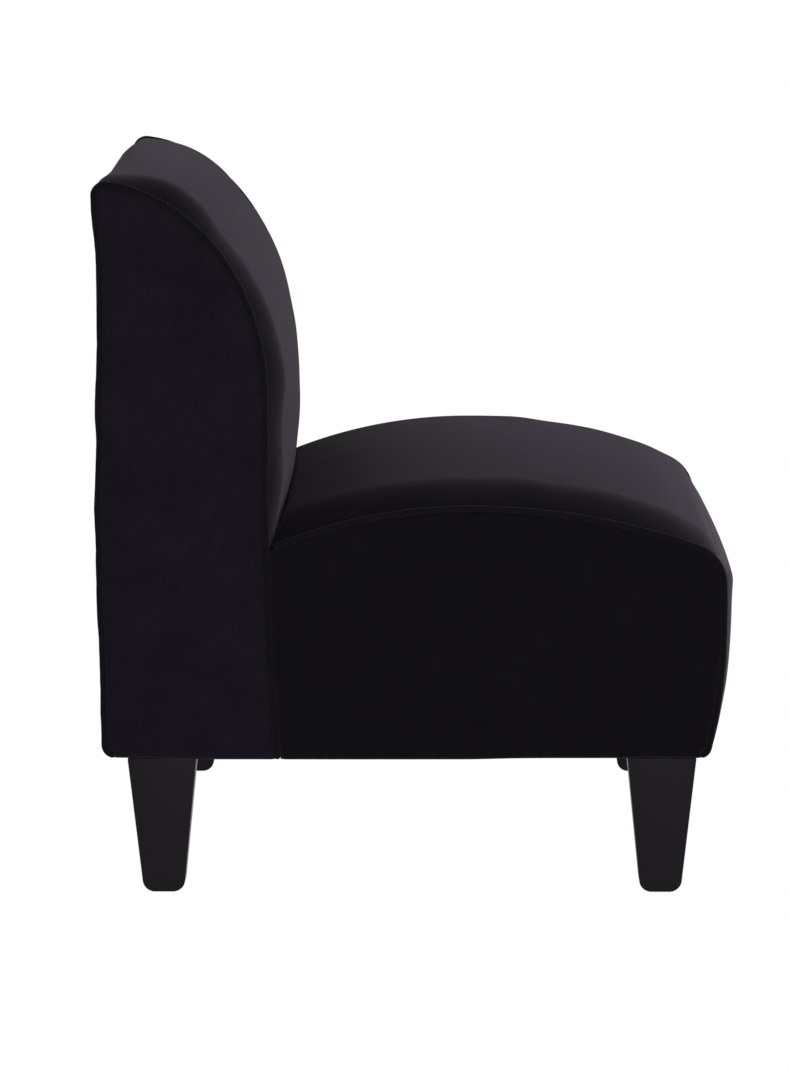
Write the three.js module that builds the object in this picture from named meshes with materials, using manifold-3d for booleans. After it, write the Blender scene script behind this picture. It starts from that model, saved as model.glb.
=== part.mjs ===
// Slipper chair: an upholstered back and an upholstered seat, screwed to each other, on four legs.
// Millimetres, +Z up. The sitter faces -Y, and right and left are the sitter's own.
// A side outline is drawn in depth, forward from the rear plane, and height above the floor.
import * as THREE from 'three';
import { mergeVertices } from 'three/addons/utils/BufferGeometryUtils.js';
import Module from 'manifold-3d';

const wasm = await Module();
wasm.setup();

// Clearance between pieces that touch, between the two modules and at a plain seam, how far a cut
// overruns, and the radius left where an inset uses up a corner
const gap = 0.3;
const moduleGap = 1.5;
const seamGroove = 1.7;
const overrun = 5;
const leastRadius = 0.3;

// Piping and covers: velvet over a thin wadding, with piping round each side panel
const pipingDiameter = 7;
const coverWall = 4;
const sidePanelFace = 299;
const sidePillow = 2.5;
const pillowEdge = 30;
const pillowInsetShares = [0, 0.2, 0.53, 1];
const pillowRiseShares = [0, 0.55, 0.88, 1];
const pipingStand = 2;
const tuckClear = 1.5;
const pipingRadius = pipingDiameter / 2;
const pipingAcross = sidePanelFace + pipingStand - pipingRadius;
const coverReach = pipingAcross - pipingRadius - gap;
const frameReach = sidePanelFace - coverWall - gap;

// Legs: wide in depth, thin across, with rounded feet
const legHeight = 152;
const legTopDepth = 75;
const legFootDepth = 44;
const legTopAcross = 44;
const legFootAcross = 30;
const legFootRound = 12;
const legInset = 1;
const rearLegDepth = 65;
const frontLegSetBack = 67;
const legAcross = sidePanelFace - legInset - legTopAcross / 2;

// Side outline of the back, on the centre line of its piping; each rise is measured from the legs' top
const backDepth = 181;
const waistTuck = 1;
const footFlare = 10;
const waistRise = 248;
const archRise = 397;
const backRise = 626;
const archStart = -7;
const backCorner = 7;
const backFootRound = 10;
const waistDepth = backDepth - waistTuck;
const footDepth = backDepth + footFlare;
const waistHeight = legHeight + waistRise;
const springHeight = legHeight + archRise;
const backHeight = legHeight + backRise;

// Side outline of the seat, on the centre line of its piping
const apexForward = 218.5;
const apexRise = 275.5;
const rearArchRadius = 547;
const frontArchRadius = 735;
const seatForward = 494.5;
const frontCorner = 25;
const frontTurnRise = 138;
const frontTuck = 18;
const frontFootRound = 8;
const seamTurnShare = 0.8;
const seamDip = 12;
const apexDepth = backDepth + apexForward;
const apexHeight = legHeight + apexRise;
const frontDepth = backDepth + seatForward;
const frontTurnHeight = legHeight + frontTurnRise;
const frontLegDepth = frontDepth - frontLegSetBack;

// Crowns: how far the stuffing pushes each cover out midway between the side panels, as a largest
// value and its shares at even steps along the line
const crownFullness = 2.5;
const insideBackCrown = 24;
const outsideBackCrown = 4;
const seatCrown = 31.5;
const backArchCrownShares = [0.92, 0.72, 0.64, 0.6, 0.64, 0.72, 0.68, 0.31, 0];
const seatTopCrownShares = [1, 1, 1, 1, 0.985, 0.945, 0.83, 0.61, 0.3];
const seatCornerCrownShares = [0.3, 0.23, 0.22, 0.28, 0.42];
const seatFrontCrownShares = [0.42, 0.58, 0.59, 0.59, 0.575, 0.54, 0.48, 0.39, 0.29];
const crownStartRise = 178;
const crownFullRise = 318;
const crownStart = legHeight + crownStartRise;
const crownFull = legHeight + crownFullRise;

// Timber of the two frames
const plywood = 18;
const railThickness = 22;
const blockHeight = 40;
const blockDepth = 90;
const blockAcross = 63;
const blockClear = 2;
const backFoamFront = 38;
const backFoamTop = 34;
const topRailHeight = 48;
const webRailHeight = 50;
const jointRailRise = 98;
const jointRailHeight = 80;
const seatRailRise = 166;
const seatRearRailHeight = 118;
const seatFrameSetBack = 29;
const jointRailFoot = legHeight + jointRailRise;
const seatRailTop = legHeight + seatRailRise;
const seatFrameFront = frontDepth - seatFrameSetBack;

// Springs, webs and cloths
const wireDiameter = 3.8;
const springWidth = 52;
const springPitch = 110;
const springCount = 4;
const springBends = 16;
const springRise = 35;
const springSetBack = 11;
const clipThickness = 1.2;
const clipWidth = 18;
const clipTail = 9;
const insulatorThickness = 3;
const insulatorEdge = 30;
const webThickness = 2;
const webSpanShares = [[0.05, 0.2], [0.33, 0.47], [0.6, 0.71]];
const dustCoverThickness = 1.2;
const dustCoverHem = 6;
const flapRise = 193;
const flapFoot = legHeight + flapRise;

// Fasteners
const boltDiameter = 8;
const boltInLeg = 30;
const boltPoint = 6;
const boltChamfer = 1;
const boltAboveNut = 3;
const nutPlateDiameter = 22;
const nutPlateThickness = 1.6;
const nutBarrelWall = 1.5;
const nutBarrelDepth = 10;
const lagLength = 58;
const lagHeadWidth = 13;
const lagHeadThickness = 5.5;
const lagAcross = 180;

// Heights and places that follow from the sizes above
const upholsteryFoot = legHeight + gap;
const pipingFoot = upholsteryFoot + pipingRadius;
const frameFoot = upholsteryFoot + dustCoverThickness + gap;
const blockTop = frameFoot + blockHeight;
const coverInside = coverWall + gap;
const panelInset = pipingRadius + gap;
const boltHole = boltDiameter / 2 + gap;
const rearBlockRear = backFootRound + blockClear;
const jointRailFront = waistDepth - coverInside;
const seatFrameRear = footDepth + pipingRadius + gap;
const wireRadius = wireDiameter / 2;
const clipInside = wireRadius + gap;
const wireRestHeight = seatRailTop + gap + clipThickness + clipInside;
const deckFoot = wireRestHeight + wireRadius + gap + insulatorThickness;

// Drawing helpers: points, arcs, crowns and insets of a side outline
const at = (depth, height) => new THREE.Vector2(depth, height);
const mix = (a, b, share) => a + (b - a) * share;
const clampShare = (share) => Math.min(1, Math.max(0, share));

// A value at a share of the way along a table of even steps
function valueAt(table, share) {
  const place = clampShare(share) * (table.length - 1);
  const i = Math.min(Math.floor(place), table.length - 2);
  return mix(table[i], table[i + 1], place - i);
}

function archPoints(centre, reach, rise, fromDegrees, toDegrees, steps) {
  const points = [];
  for (let i = 0; i <= steps; i += 1) {
    const angle = THREE.MathUtils.degToRad(mix(fromDegrees, toDegrees, i / steps));
    points.push(at(centre.x + reach * Math.cos(angle), centre.y + rise * Math.sin(angle)));
  }
  return points;
}

// The stuffing's crown across the chair: 1 at the middle, 0 at the piping
function crownAcross(across) {
  return Math.sqrt(1 - clampShare(Math.abs(across) / coverReach) ** crownFullness);
}

// Normals of a line: on its left in its direction of travel for side 1, on its right for side -1
function outwardNormals(line, side) {
  return line.map((point, i) => {
    const before = line[Math.max(i - 1, 0)];
    const after = line[Math.min(i + 1, line.length - 1)];
    const along = after.clone().sub(before).normalize();
    return at(-along.y * side, along.x * side);
  });
}

// The same line a distance inside, with mitred corners
const sharpestMitreShare = 0.3;

function insetLine(line, distance, side) {
  return line.map((point, i) => {
    const before = i > 0 ? point.clone().sub(line[i - 1]).normalize() : null;
    const after = i < line.length - 1 ? line[i + 1].clone().sub(point).normalize() : null;
    const first = before ?? after;
    const second = after ?? before;
    const along = first.clone().add(second).normalize();
    const mitre = 1 / Math.max(sharpestMitreShare, along.dot(second));
    return at(point.x + along.y * side * distance * mitre, point.y - along.x * side * distance * mitre);
  });
}

// A point at a share of a line's length
function pointAlong(line, lengths, length) {
  let i = 1;
  while (i < line.length - 1 && lengths[i] < length) i += 1;
  const span = lengths[i] - lengths[i - 1];
  const share = span > 0 ? (length - lengths[i - 1]) / span : 0;
  return line[i - 1].clone().lerp(line[i], share);
}

function lengthsOf(line) {
  const lengths = [0];
  for (let i = 1; i < line.length; i += 1) {
    lengths.push(lengths[i - 1] + line[i].distanceTo(line[i - 1]));
  }
  return lengths;
}

// The front of the back: a flare towards the foot, then almost upright to where the arch springs
function backFront(height) {
  const flare = Math.max(0, (waistHeight - height) / (waistHeight - legHeight));
  const lean = Math.max(0, (height - waistHeight) / (springHeight - waistHeight));
  return waistDepth + (footDepth - waistDepth) * flare ** 2 + (backDepth - waistDepth) * lean;
}

// Rows of the back's line: up the front, over the arch, round the rear corner and down the rear
const frontRowShares = [0, 0.22, 0.42, 0.5, 0.56, 0.62, 0.68, 0.74, 0.8, 0.87, 0.94, 1];
const archRows = 13;
const cornerRows = 3;
const rearRowShares = [0, 0.3, 0.65, 1];
const insideBackRows = frontRowShares.length + archRows + cornerRows;

function backArch(front, top, steps, endDepth = backCorner) {
  const reach = backDepth - archStart - front;
  const rise = backHeight - springHeight - top;
  const end = THREE.MathUtils.radToDeg(Math.acos((endDepth - archStart) / reach));
  return archPoints(at(archStart, springHeight), reach, rise, 0, end, steps);
}

function backLine(rear, front, top, frontFoot = pipingFoot) {
  const line = frontRowShares.map((share) => {
    const height = mix(frontFoot, springHeight, share);
    return at(backFront(height) - front, height);
  });
  const corner = Math.max(backCorner - rear, leastRadius);
  line.push(...backArch(front, top, archRows, rear + corner).slice(1));
  const cornerTop = line[line.length - 1].y;
  const turn = archPoints(at(rear + corner, cornerTop - corner), corner, corner, 90, 180, cornerRows);
  line.push(...turn.slice(1));
  const round = Math.max(backFootRound - rear, leastRadius);
  const rearTop = cornerTop - corner - seamGroove;
  const rearFoot = pipingFoot + rear + round;
  line.push(...rearRowShares.map((share) => at(rear, mix(rearTop, rearFoot, share))));
  line.push(...archPoints(at(rear + round, rearFoot), round, round, 180, 270, cornerRows).slice(1));
  return line;
}

// The closed outline of a back panel, with a step that clears the piping's tucked end
function backOutline(inset, foot) {
  const line = backLine(inset, inset, inset, foot + pipingRadius);
  const end = line[line.length - 1];
  const step = end.x + tuckClear;
  return [at(backFront(foot) - inset, foot), ...line, at(step, end.y), at(step, foot)];
}

// How far the stuffing stands out at each point of the back's line
function backCrown(point) {
  const up = clampShare((point.y - crownStart) / (crownFull - crownStart));
  const near = clampShare((point.y - crownFull) / (springHeight - crownFull));
  const rise = (point.y - springHeight) / (backHeight - springHeight);
  const turn = Math.atan2(rise, (point.x - archStart) / (backDepth - archStart)) / (Math.PI / 2);
  const onArch = valueAt(backArchCrownShares, turn);
  return insideBackCrown * up * up * (3 - 2 * up) * mix(1, onArch, near);
}

function crownedBack(across) {
  const line = backLine(0, 0, 0);
  const normals = outwardNormals(line, -1);
  return line.map((point, i) => {
    let crown = 0;
    if (i < insideBackRows - cornerRows) crown = backCrown(point);
    if (i > insideBackRows && i < line.length - cornerRows) crown = outsideBackCrown;
    return point.clone().addScaledVector(normals[i], crown * crownAcross(across));
  });
}

// The seat's line: up from the back, over the arch, round the front corner, down and under
const seatArchRows = 16;
const seatCornerRows = 6;
const seatFrontRowShares = [0, 0.12, 0.25, 0.5, 0.65, 0.8, 0.9, 1];
const rearEdgeShares = [0, 0.2, 0.4, 0.6, 0.8];

function frontFace(height) {
  const low = Math.max(0, (frontTurnHeight - height) / (frontTurnHeight - legHeight));
  return frontDepth - frontTuck * low ** 2;
}

// The seat's front corner: its radius, its centre and the angle at which the arch runs into it
function seatCorner(inset) {
  const radius = Math.max(frontCorner - inset, leastRadius);
  const forward = frontDepth - inset - radius - apexDepth;
  const reach = frontArchRadius - inset - radius;
  const height = apexHeight - frontArchRadius + Math.sqrt(reach ** 2 - forward ** 2);
  const lean = THREE.MathUtils.radToDeg(Math.acos(forward / reach));
  return { radius, centre: at(apexDepth + forward, height), lean };
}

function seatLine(inset, startDepth) {
  const line = [];
  const rearRadius = rearArchRadius - inset;
  for (let i = 0; i <= seatArchRows; i += 1) {
    const depth = mix(startDepth, apexDepth, i / seatArchRows);
    const rise = Math.sqrt(rearRadius ** 2 - (depth - apexDepth) ** 2);
    line.push(at(depth, apexHeight - rearArchRadius + rise));
  }
  const { radius, centre, lean } = seatCorner(inset);
  const frontRadius = frontArchRadius - inset;
  const archCentre = at(apexDepth, apexHeight - frontArchRadius);
  line.push(...archPoints(archCentre, frontRadius, frontRadius, 90, lean, seatArchRows).slice(1));
  line.push(...archPoints(centre, radius, radius, lean, 0, seatCornerRows).slice(1));
  const round = Math.max(frontFootRound - inset, leastRadius);
  const roundHeight = pipingFoot + inset + round;
  for (const share of seatFrontRowShares.slice(1)) {
    const height = mix(centre.y, roundHeight, share);
    line.push(at(frontFace(height) - inset, height));
  }
  const last = line[line.length - 1];
  const footCentre = at(last.x - round, roundHeight);
  line.push(...archPoints(footCentre, round, round, 0, -90, cornerRows).slice(1));
  return line;
}

// The closed outline of a seat side panel: its rear edge follows the piping of the back
function seatOutline(inset, foot) {
  const clear = inset + moduleGap;
  const start = backFront(apexHeight) + clear;
  const line = seatLine(inset, start);
  const end = line[line.length - 1];
  const outline = [...line, at(end.x - tuckClear, end.y), at(end.x - tuckClear, foot)];
  for (const share of rearEdgeShares) {
    const height = mix(foot, line[0].y, share);
    outline.push(at(backFront(height) + clear, height));
  }
  return outline;
}

// How far the stuffing stands out at each point of the seat's line
function crownOfSeat(point) {
  const { radius, centre, lean } = seatCorner(0);
  const turnStart = centre.x + radius * Math.cos(THREE.MathUtils.degToRad(lean));
  const forward = (point.x - apexDepth) / (turnStart - apexDepth);
  const angle = THREE.MathUtils.radToDeg(Math.atan2(point.y - centre.y, point.x - centre.x));
  const down = (centre.y - point.y) / (centre.y - pipingFoot);
  if (down > 0) return seatCrown * valueAt(seatFrontCrownShares, down);
  if (forward > 1) return seatCrown * valueAt(seatCornerCrownShares, 1 - angle / lean);
  return seatCrown * valueAt(seatTopCrownShares, forward);
}

// Where the back's cushion stands in front of its own line, at a height and a distance across
function backCushionFront(height, across) {
  return backFront(height) + backCrown(at(0, height)) * crownAcross(across);
}

// The crowned seat at one distance across, cut at the crease with the back and at the front seam
const searchSteps = 2000;

function crownedSeat(across) {
  const line = seatLine(0, waistDepth);
  const normals = outwardNormals(line, 1);
  const crowned = line.map((point, i) => (
    point.clone().addScaledVector(normals[i], crownOfSeat(point) * crownAcross(across))));
  const lengths = lengthsOf(crowned);
  const total = lengths[lengths.length - 1];
  const corner = seatCorner(0);
  const seam = corner.centre.y + corner.radius * seamTurnShare - seamDip * crownAcross(across);
  let crease = 0;
  let seamAt = 0;
  for (let i = 0; i <= searchSteps; i += 1) {
    const length = total * i / searchSteps;
    const point = pointAlong(crowned, lengths, length);
    if (point.x < backCushionFront(point.y, across) + moduleGap) crease = length;
    if (point.x < apexDepth || point.y > seam) seamAt = length;
  }
  return { crowned, lengths, crease, seamAt, total };
}

// Rows of the seat's top cover from the crease to the seam, and of its front cover below the seam
const topRowShares = [0, 0.04, 0.1, 0.17, 0.25, 0.33, 0.41, 0.5, 0.58, 0.66, 0.73, 0.79, 0.84, 0.88, 0.91,
  0.94, 0.965, 0.985, 1];
const flapRowShares = [0, 0.35, 0.7];
const faceRowShares = [0, 0.04, 0.09, 0.15, 0.28, 0.45, 0.62, 0.78, 0.9, 0.96, 1];

function seatTopLine(across) {
  const { crowned, lengths, crease, seamAt } = crownedSeat(across);
  const topEnd = seamAt - seamGroove;
  const top = topRowShares.map((share) => pointAlong(crowned, lengths, mix(crease, topEnd, share)));
  const flap = flapRowShares.map((share) => {
    const height = mix(flapFoot, top[0].y, share);
    return at(backCushionFront(height, across) + moduleGap, height);
  });
  return [...flap, ...top];
}

function seatFrontLine(across) {
  const { crowned, lengths, seamAt, total } = crownedSeat(across);
  return faceRowShares.map((share) => pointAlong(crowned, lengths, mix(seamAt, total, share)));
}

// The springs' deck: the arch that the insulator's top and the side frames' top edges share
function deckHeight(depth) {
  const middle = (seatFrameRear + seatFrameFront) / 2;
  const share = (depth - middle) / ((seatFrameFront - seatFrameRear) / 2);
  return deckFoot + springRise * (1 - share ** 2);
}

const deckRows = 12;

function deckLine(from, to, lift) {
  return Array.from({ length: deckRows + 1 }, (unused, i) => {
    const depth = mix(from, to, i / deckRows);
    return at(depth, deckHeight(depth) + lift);
  });
}

// Bodies from vertices and faces, turned so that every face points out
function bodyFrom(positions, faces) {
  let volume = 0;
  const corner = (i) => new THREE.Vector3().fromArray(positions, i * 3);
  for (let i = 0; i < faces.length; i += 3) {
    volume += corner(faces[i]).dot(corner(faces[i + 1]).cross(corner(faces[i + 2])));
  }
  const geometry = new THREE.BufferGeometry();
  geometry.setAttribute('position', new THREE.Float32BufferAttribute(positions, 3));
  if (volume < 0) {
    for (let i = 0; i < faces.length; i += 3) [faces[i], faces[i + 1]] = [faces[i + 1], faces[i]];
  }
  geometry.setIndex(faces);
  return geometry;
}

const stationCount = 16;

const stations = Array.from({ length: stationCount + 1 }, (unused, i) => (
  coverReach * Math.sin(THREE.MathUtils.degToRad(mix(-90, 90, i / stationCount)))));
const foamStations = [-frameReach, ...stations, frameReach];

// A cover: a sheet through one line at each station, with a wall's thickness on its inner side
function cover(lineAt, side) {
  const columns = stations.map((across) => {
    const outer = lineAt(across);
    return { across, layers: [outer, insetLine(outer, coverWall, side)] };
  });
  const rows = columns[0].layers[0].length;
  const positions = [];
  for (const { across, layers } of columns) {
    for (const layer of layers) {
      for (const point of layer) positions.push(across, -point.x, point.y);
    }
  }
  const index = (column, layer, row) => (column * 2 + layer) * rows + row;
  const faces = [];
  const quad = (a, b, c, d) => faces.push(a, b, c, a, c, d);
  const last = columns.length - 1;
  for (let c = 0; c < last; c += 1) {
    for (let r = 0; r < rows - 1; r += 1) {
      quad(index(c, 0, r), index(c + 1, 0, r), index(c + 1, 0, r + 1), index(c, 0, r + 1));
      quad(index(c, 1, r), index(c, 1, r + 1), index(c + 1, 1, r + 1), index(c + 1, 1, r));
    }
    quad(index(c, 0, 0), index(c, 1, 0), index(c + 1, 1, 0), index(c + 1, 0, 0));
    const end = rows - 1;
    quad(index(c, 0, end), index(c + 1, 0, end), index(c + 1, 1, end), index(c, 1, end));
  }
  for (let r = 0; r < rows - 1; r += 1) {
    quad(index(0, 0, r), index(0, 0, r + 1), index(0, 1, r + 1), index(0, 1, r));
    quad(index(last, 0, r), index(last, 1, r), index(last, 1, r + 1), index(last, 0, r + 1));
  }
  return bodyFrom(positions, faces);
}

// The flat end of a solid: its outline's triangles, wound with the outline or against it
function cap(outline, winding, offset) {
  const triangles = THREE.ShapeUtils.triangulateShape(outline, []);
  let filled = 0;
  for (const triangle of triangles) filled += THREE.ShapeUtils.area(triangle.map((i) => outline[i]));
  const keep = Math.sign(filled) * Math.sign(THREE.ShapeUtils.area(outline)) * winding > 0;
  return triangles.flatMap(([a, b, c]) => (keep ? [a, b, c] : [a, c, b]).map((i) => i + offset));
}

// A solid through closed outlines at several distances across
function loft(sections) {
  const count = sections[0].outline.length;
  const positions = sections.flatMap(({ across, outline }) => (
    outline.flatMap((point) => [across, -point.x, point.y])));
  const faces = [];
  for (let s = 0; s < sections.length - 1; s += 1) {
    for (let i = 0; i < count; i += 1) {
      const j = (i + 1) % count;
      const [a, b] = [s * count + i, s * count + j];
      faces.push(a, b, b + count, a, b + count, a + count);
    }
  }
  faces.push(...cap(sections[0].outline, -1, 0));
  faces.push(...cap(sections[sections.length - 1].outline, 1, (sections.length - 1) * count));
  return bodyFrom(positions, faces);
}

// A flat board: one side outline at a constant thickness
function board(outline, fromAcross, toAcross) {
  const shape = new THREE.Shape(outline);
  const geometry = new THREE.ExtrudeGeometry(shape, { depth: toAcross - fromAcross, bevelEnabled: false });
  geometry.applyMatrix4(new THREE.Matrix4().set(
    0, 0, -1, toAcross,
    -1, 0, 0, 0,
    0, 1, 0, 0,
    0, 0, 0, 1));
  return geometry;
}

// A box by its limits across, in depth and in height
function block(width, depth, height) {
  const span = (pair) => pair[1] - pair[0];
  const middle = (pair) => (pair[0] + pair[1]) / 2;
  const geometry = new THREE.BoxGeometry(span(width), span(depth), span(height));
  return geometry.translate(middle(width), -middle(depth), middle(height));
}

// A round cord or wire along points in space, bent in the plane that its flat side lies in
function cord(path, radius, sides, flatSide) {
  const positions = [];
  const faces = [];
  path.forEach((point, i) => {
    const before = i > 0 ? point.clone().sub(path[i - 1]).normalize() : null;
    const after = i < path.length - 1 ? path[i + 1].clone().sub(point).normalize() : null;
    const along = (before ?? after).clone().add(after ?? before).normalize();
    const mitre = 1 / along.dot(after ?? before);
    const inPlane = along.clone().cross(flatSide).normalize();
    const offPlane = inPlane.clone().cross(along);
    for (let k = 0; k < sides; k += 1) {
      const angle = 2 * Math.PI * (k + 0.5) / sides;
      positions.push(...point.clone()
        .addScaledVector(inPlane, radius * Math.cos(angle) * mitre)
        .addScaledVector(offPlane, radius * Math.sin(angle)).toArray());
    }
  });
  for (let i = 0; i < path.length - 1; i += 1) {
    for (let k = 0; k < sides; k += 1) {
      const [a, b] = [i * sides + k, i * sides + (k + 1) % sides];
      faces.push(a, b, b + sides, a, b + sides, a + sides);
    }
  }
  const end = (path.length - 1) * sides;
  for (let k = 1; k < sides - 1; k += 1) {
    faces.push(0, k + 1, k);
    faces.push(end, end + k, end + k + 1);
  }
  return bodyFrom(positions, faces);
}

// Solids that are joined and cut
function solidOf(geometry) {
  const plain = geometry.clone();
  plain.deleteAttribute('normal');
  plain.deleteAttribute('uv');
  const merged = mergeVertices(plain);
  return new wasm.Manifold(new wasm.Mesh({
    numProp: 3,
    vertProperties: new Float32Array(merged.attributes.position.array),
    triVerts: new Uint32Array(merged.index.array),
  }));
}

function geometryOf(solid) {
  const mesh = solid.getMesh();
  const geometry = new THREE.BufferGeometry();
  geometry.setAttribute('position', new THREE.BufferAttribute(new Float32Array(mesh.vertProperties), 3));
  geometry.setIndex(new THREE.BufferAttribute(new Uint32Array(mesh.triVerts), 1));
  return geometry;
}

function cut(geometry, ...tools) {
  return geometryOf(tools.reduce((body, tool) => body.subtract(solidOf(tool)), solidOf(geometry)));
}

const roundSides = 12;

// An upright rod between two heights, and a rod along the depth
function uprightRod(radius, foot, top, across, depth) {
  const rod = new THREE.CylinderGeometry(radius, radius, top - foot, roundSides);
  return rod.rotateX(Math.PI / 2).translate(across, -depth, (foot + top) / 2);
}

function levelRod(radius, rear, front, across, height, sides = roundSides) {
  const rod = new THREE.CylinderGeometry(radius, radius, front - rear, sides);
  return rod.translate(across, -(rear + front) / 2, height);
}

// Materials
const finish = (color, roughness, metalness = 0) => ({ color, roughness, metalness });
const velvet = finish('#1a181d', 0.95);
const pipingVelvet = finish('#201d23', 0.9);
const lacquer = finish('#1c1315', 0.35);
const timber = finish('#c8a777', 0.8);
const hardwood = finish('#b58a5a', 0.75);
const foam = finish('#e6dcc0', 1);
const steel = finish('#b4b6b8', 0.35, 1);
const felt = finish('#6f6b66', 1);
const webbing = finish('#2c2b2f', 0.9);
const cambric = finish('#17171a', 1);

const chair = new THREE.Group();

function add(name, geometry, look) {
  const mesh = new THREE.Mesh(geometry, new THREE.MeshStandardMaterial(look));
  mesh.name = name;
  chair.add(mesh);
}

const sides = [{ name: 'right', sign: -1 }, { name: 'left', sign: 1 }];

// Legs: a tapered block with a rounded foot, drilled for its hanger bolt
function leg(depth, sign) {
  const topHalf = legTopDepth / 2;
  const footHalf = legFootDepth / 2;
  const taper = (topHalf - footHalf) / legHeight;
  const roundHalf = footHalf + taper * legFootRound;
  const outline = [at(depth + topHalf, legHeight), at(depth - topHalf, legHeight)];
  const heel = at(depth - roundHalf + legFootRound, legFootRound);
  const toe = at(depth + roundHalf - legFootRound, legFootRound);
  outline.push(...archPoints(heel, legFootRound, legFootRound, 180, 270, 6));
  outline.push(...archPoints(toe, legFootRound, legFootRound, 270, 360, 6));
  const body = board(outline, -legTopAcross / 2, legTopAcross / 2);
  const position = body.attributes.position;
  for (let i = 0; i < position.count; i += 1) {
    const width = mix(legFootAcross, legTopAcross, position.getZ(i) / legHeight);
    position.setX(i, position.getX(i) * width / legTopAcross + sign * legAcross);
  }
  const holeFoot = legHeight - boltInLeg - gap;
  return cut(body, uprightRod(boltHole, holeFoot, legHeight + overrun, sign * legAcross, depth));
}

// The hanger bolt from the leg up through the corner block, and the T-nut that it turns in
function hangerBolt(depth, sign) {
  const radius = boltDiameter / 2;
  const foot = legHeight - boltInLeg;
  const top = blockTop + gap + nutPlateThickness + boltAboveNut;
  const profile = [at(0, foot), at(radius, foot + boltPoint), at(radius, top - boltChamfer),
    at(radius - boltChamfer, top), at(0, top)];
  const bolt = new THREE.LatheGeometry(profile, roundSides).rotateX(Math.PI / 2);
  return bolt.translate(sign * legAcross, -depth, 0);
}

function teeNut(depth, sign) {
  const barrel = boltHole + nutBarrelWall;
  const seat = blockTop + gap;
  const profile = [at(boltHole, seat - nutBarrelDepth), at(barrel, seat - nutBarrelDepth), at(barrel, seat),
    at(nutPlateDiameter / 2, seat), at(nutPlateDiameter / 2, seat + nutPlateThickness),
    at(boltHole, seat + nutPlateThickness), at(boltHole, seat - nutBarrelDepth)];
  const nut = new THREE.LatheGeometry(profile, roundSides).rotateX(Math.PI / 2);
  return nut.translate(sign * legAcross, -depth, 0);
}

function cornerBlock(rear, front, legDepth, sign) {
  const limits = [sign * (frameReach - blockAcross), sign * frameReach].sort((a, b) => a - b);
  const body = block(limits, [rear, front], [frameFoot, blockTop]);
  const hole = uprightRod(boltHole, frameFoot - overrun, blockTop + overrun, sign * legAcross, legDepth);
  const barrel = boltHole + nutBarrelWall + gap;
  const seatFoot = blockTop - nutBarrelDepth - gap;
  const seat = uprightRod(barrel, seatFoot, blockTop + overrun, sign * legAcross, legDepth);
  return cut(body, hole, seat);
}

const rearBlock = [rearBlockRear, rearBlockRear + blockDepth];
const frontBlock = [seatFrameFront - blockDepth, seatFrameFront];
const legRows = [
  { name: 'rear', depth: rearLegDepth, limits: rearBlock },
  { name: 'front', depth: frontLegDepth, limits: frontBlock },
];
for (const row of legRows) {
  for (const { name, sign } of sides) {
    const tag = `${row.name}_${name}`;
    add(`leg_${tag}`, leg(row.depth, sign), lacquer);
    add(`hanger_bolt_${tag}`, hangerBolt(row.depth, sign), steel);
    add(`tee_nut_${tag}`, teeNut(row.depth, sign), steel);
    add(`corner_block_${tag}`, cornerBlock(...row.limits, row.depth, sign), hardwood);
  }
}

// Back frame: shaped plywood sides, notched over the corner blocks, and the rails between them
const webLayer = webThickness + gap * 2;
const foamFootRow = 4;
const backShelf = mix(pipingFoot, springHeight, frontRowShares[foamFootRow]) - gap;
const boardInside = frameReach - plywood;
const railReach = boardInside - gap;

const backArchInside = backArch(backFoamFront, backFoamTop, archRows);
const backFrameTop = backArchInside[backArchInside.length - 1];

// The top of a side frame's notch over a corner block, with a pocket over the T-nut and its bolt
function notchTop(legDepth) {
  const pocketHalf = nutPlateDiameter / 2 + gap;
  const pocketTop = blockTop + gap + nutPlateThickness + boltAboveNut + gap;
  return [
    at(legDepth - pocketHalf, blockTop + gap), at(legDepth - pocketHalf, pocketTop),
    at(legDepth + pocketHalf, pocketTop), at(legDepth + pocketHalf, blockTop + gap),
  ];
}

const backSideOutline = [
  at(rearBlock[1] + gap, frameFoot),
  at(jointRailFront, frameFoot),
  at(jointRailFront, backShelf),
  at(backDepth - backFoamFront, backShelf),
  ...backArchInside,
  at(coverInside, backFrameTop.y),
  at(coverInside, blockTop + gap),
  ...notchTop(rearLegDepth),
  at(rearBlock[1] + gap, blockTop + gap),
];
for (const { name, sign } of sides) {
  const limits = [sign * boardInside, sign * frameReach].sort((a, b) => a - b);
  add(`back_side_frame_${name}`, board(backSideOutline, ...limits), timber);
}

const railSpan = [-railReach, railReach];
const betweenBlocks = frameReach - blockAcross - gap;
const topRailFront = coverInside + railThickness;
const topRailShare = (topRailFront - archStart) / (backDepth - archStart - backFoamFront);
const topRailTop = mix(springHeight, backHeight - backFoamTop, Math.sqrt(1 - topRailShare ** 2));
add('back_top_rail', block(railSpan, [coverInside, topRailFront],
  [topRailTop - topRailHeight, topRailTop]), hardwood);
const webRailFront = backDepth - backFoamFront;
add('back_web_rail', block(railSpan, [webRailFront - railThickness, webRailFront],
  [backShelf + gap, backShelf + gap + webRailHeight]), hardwood);
add('back_rear_rail', block([-betweenBlocks, betweenBlocks], [rearBlockRear, rearBlockRear + railThickness],
  [frameFoot, blockTop]), hardwood);

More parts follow.
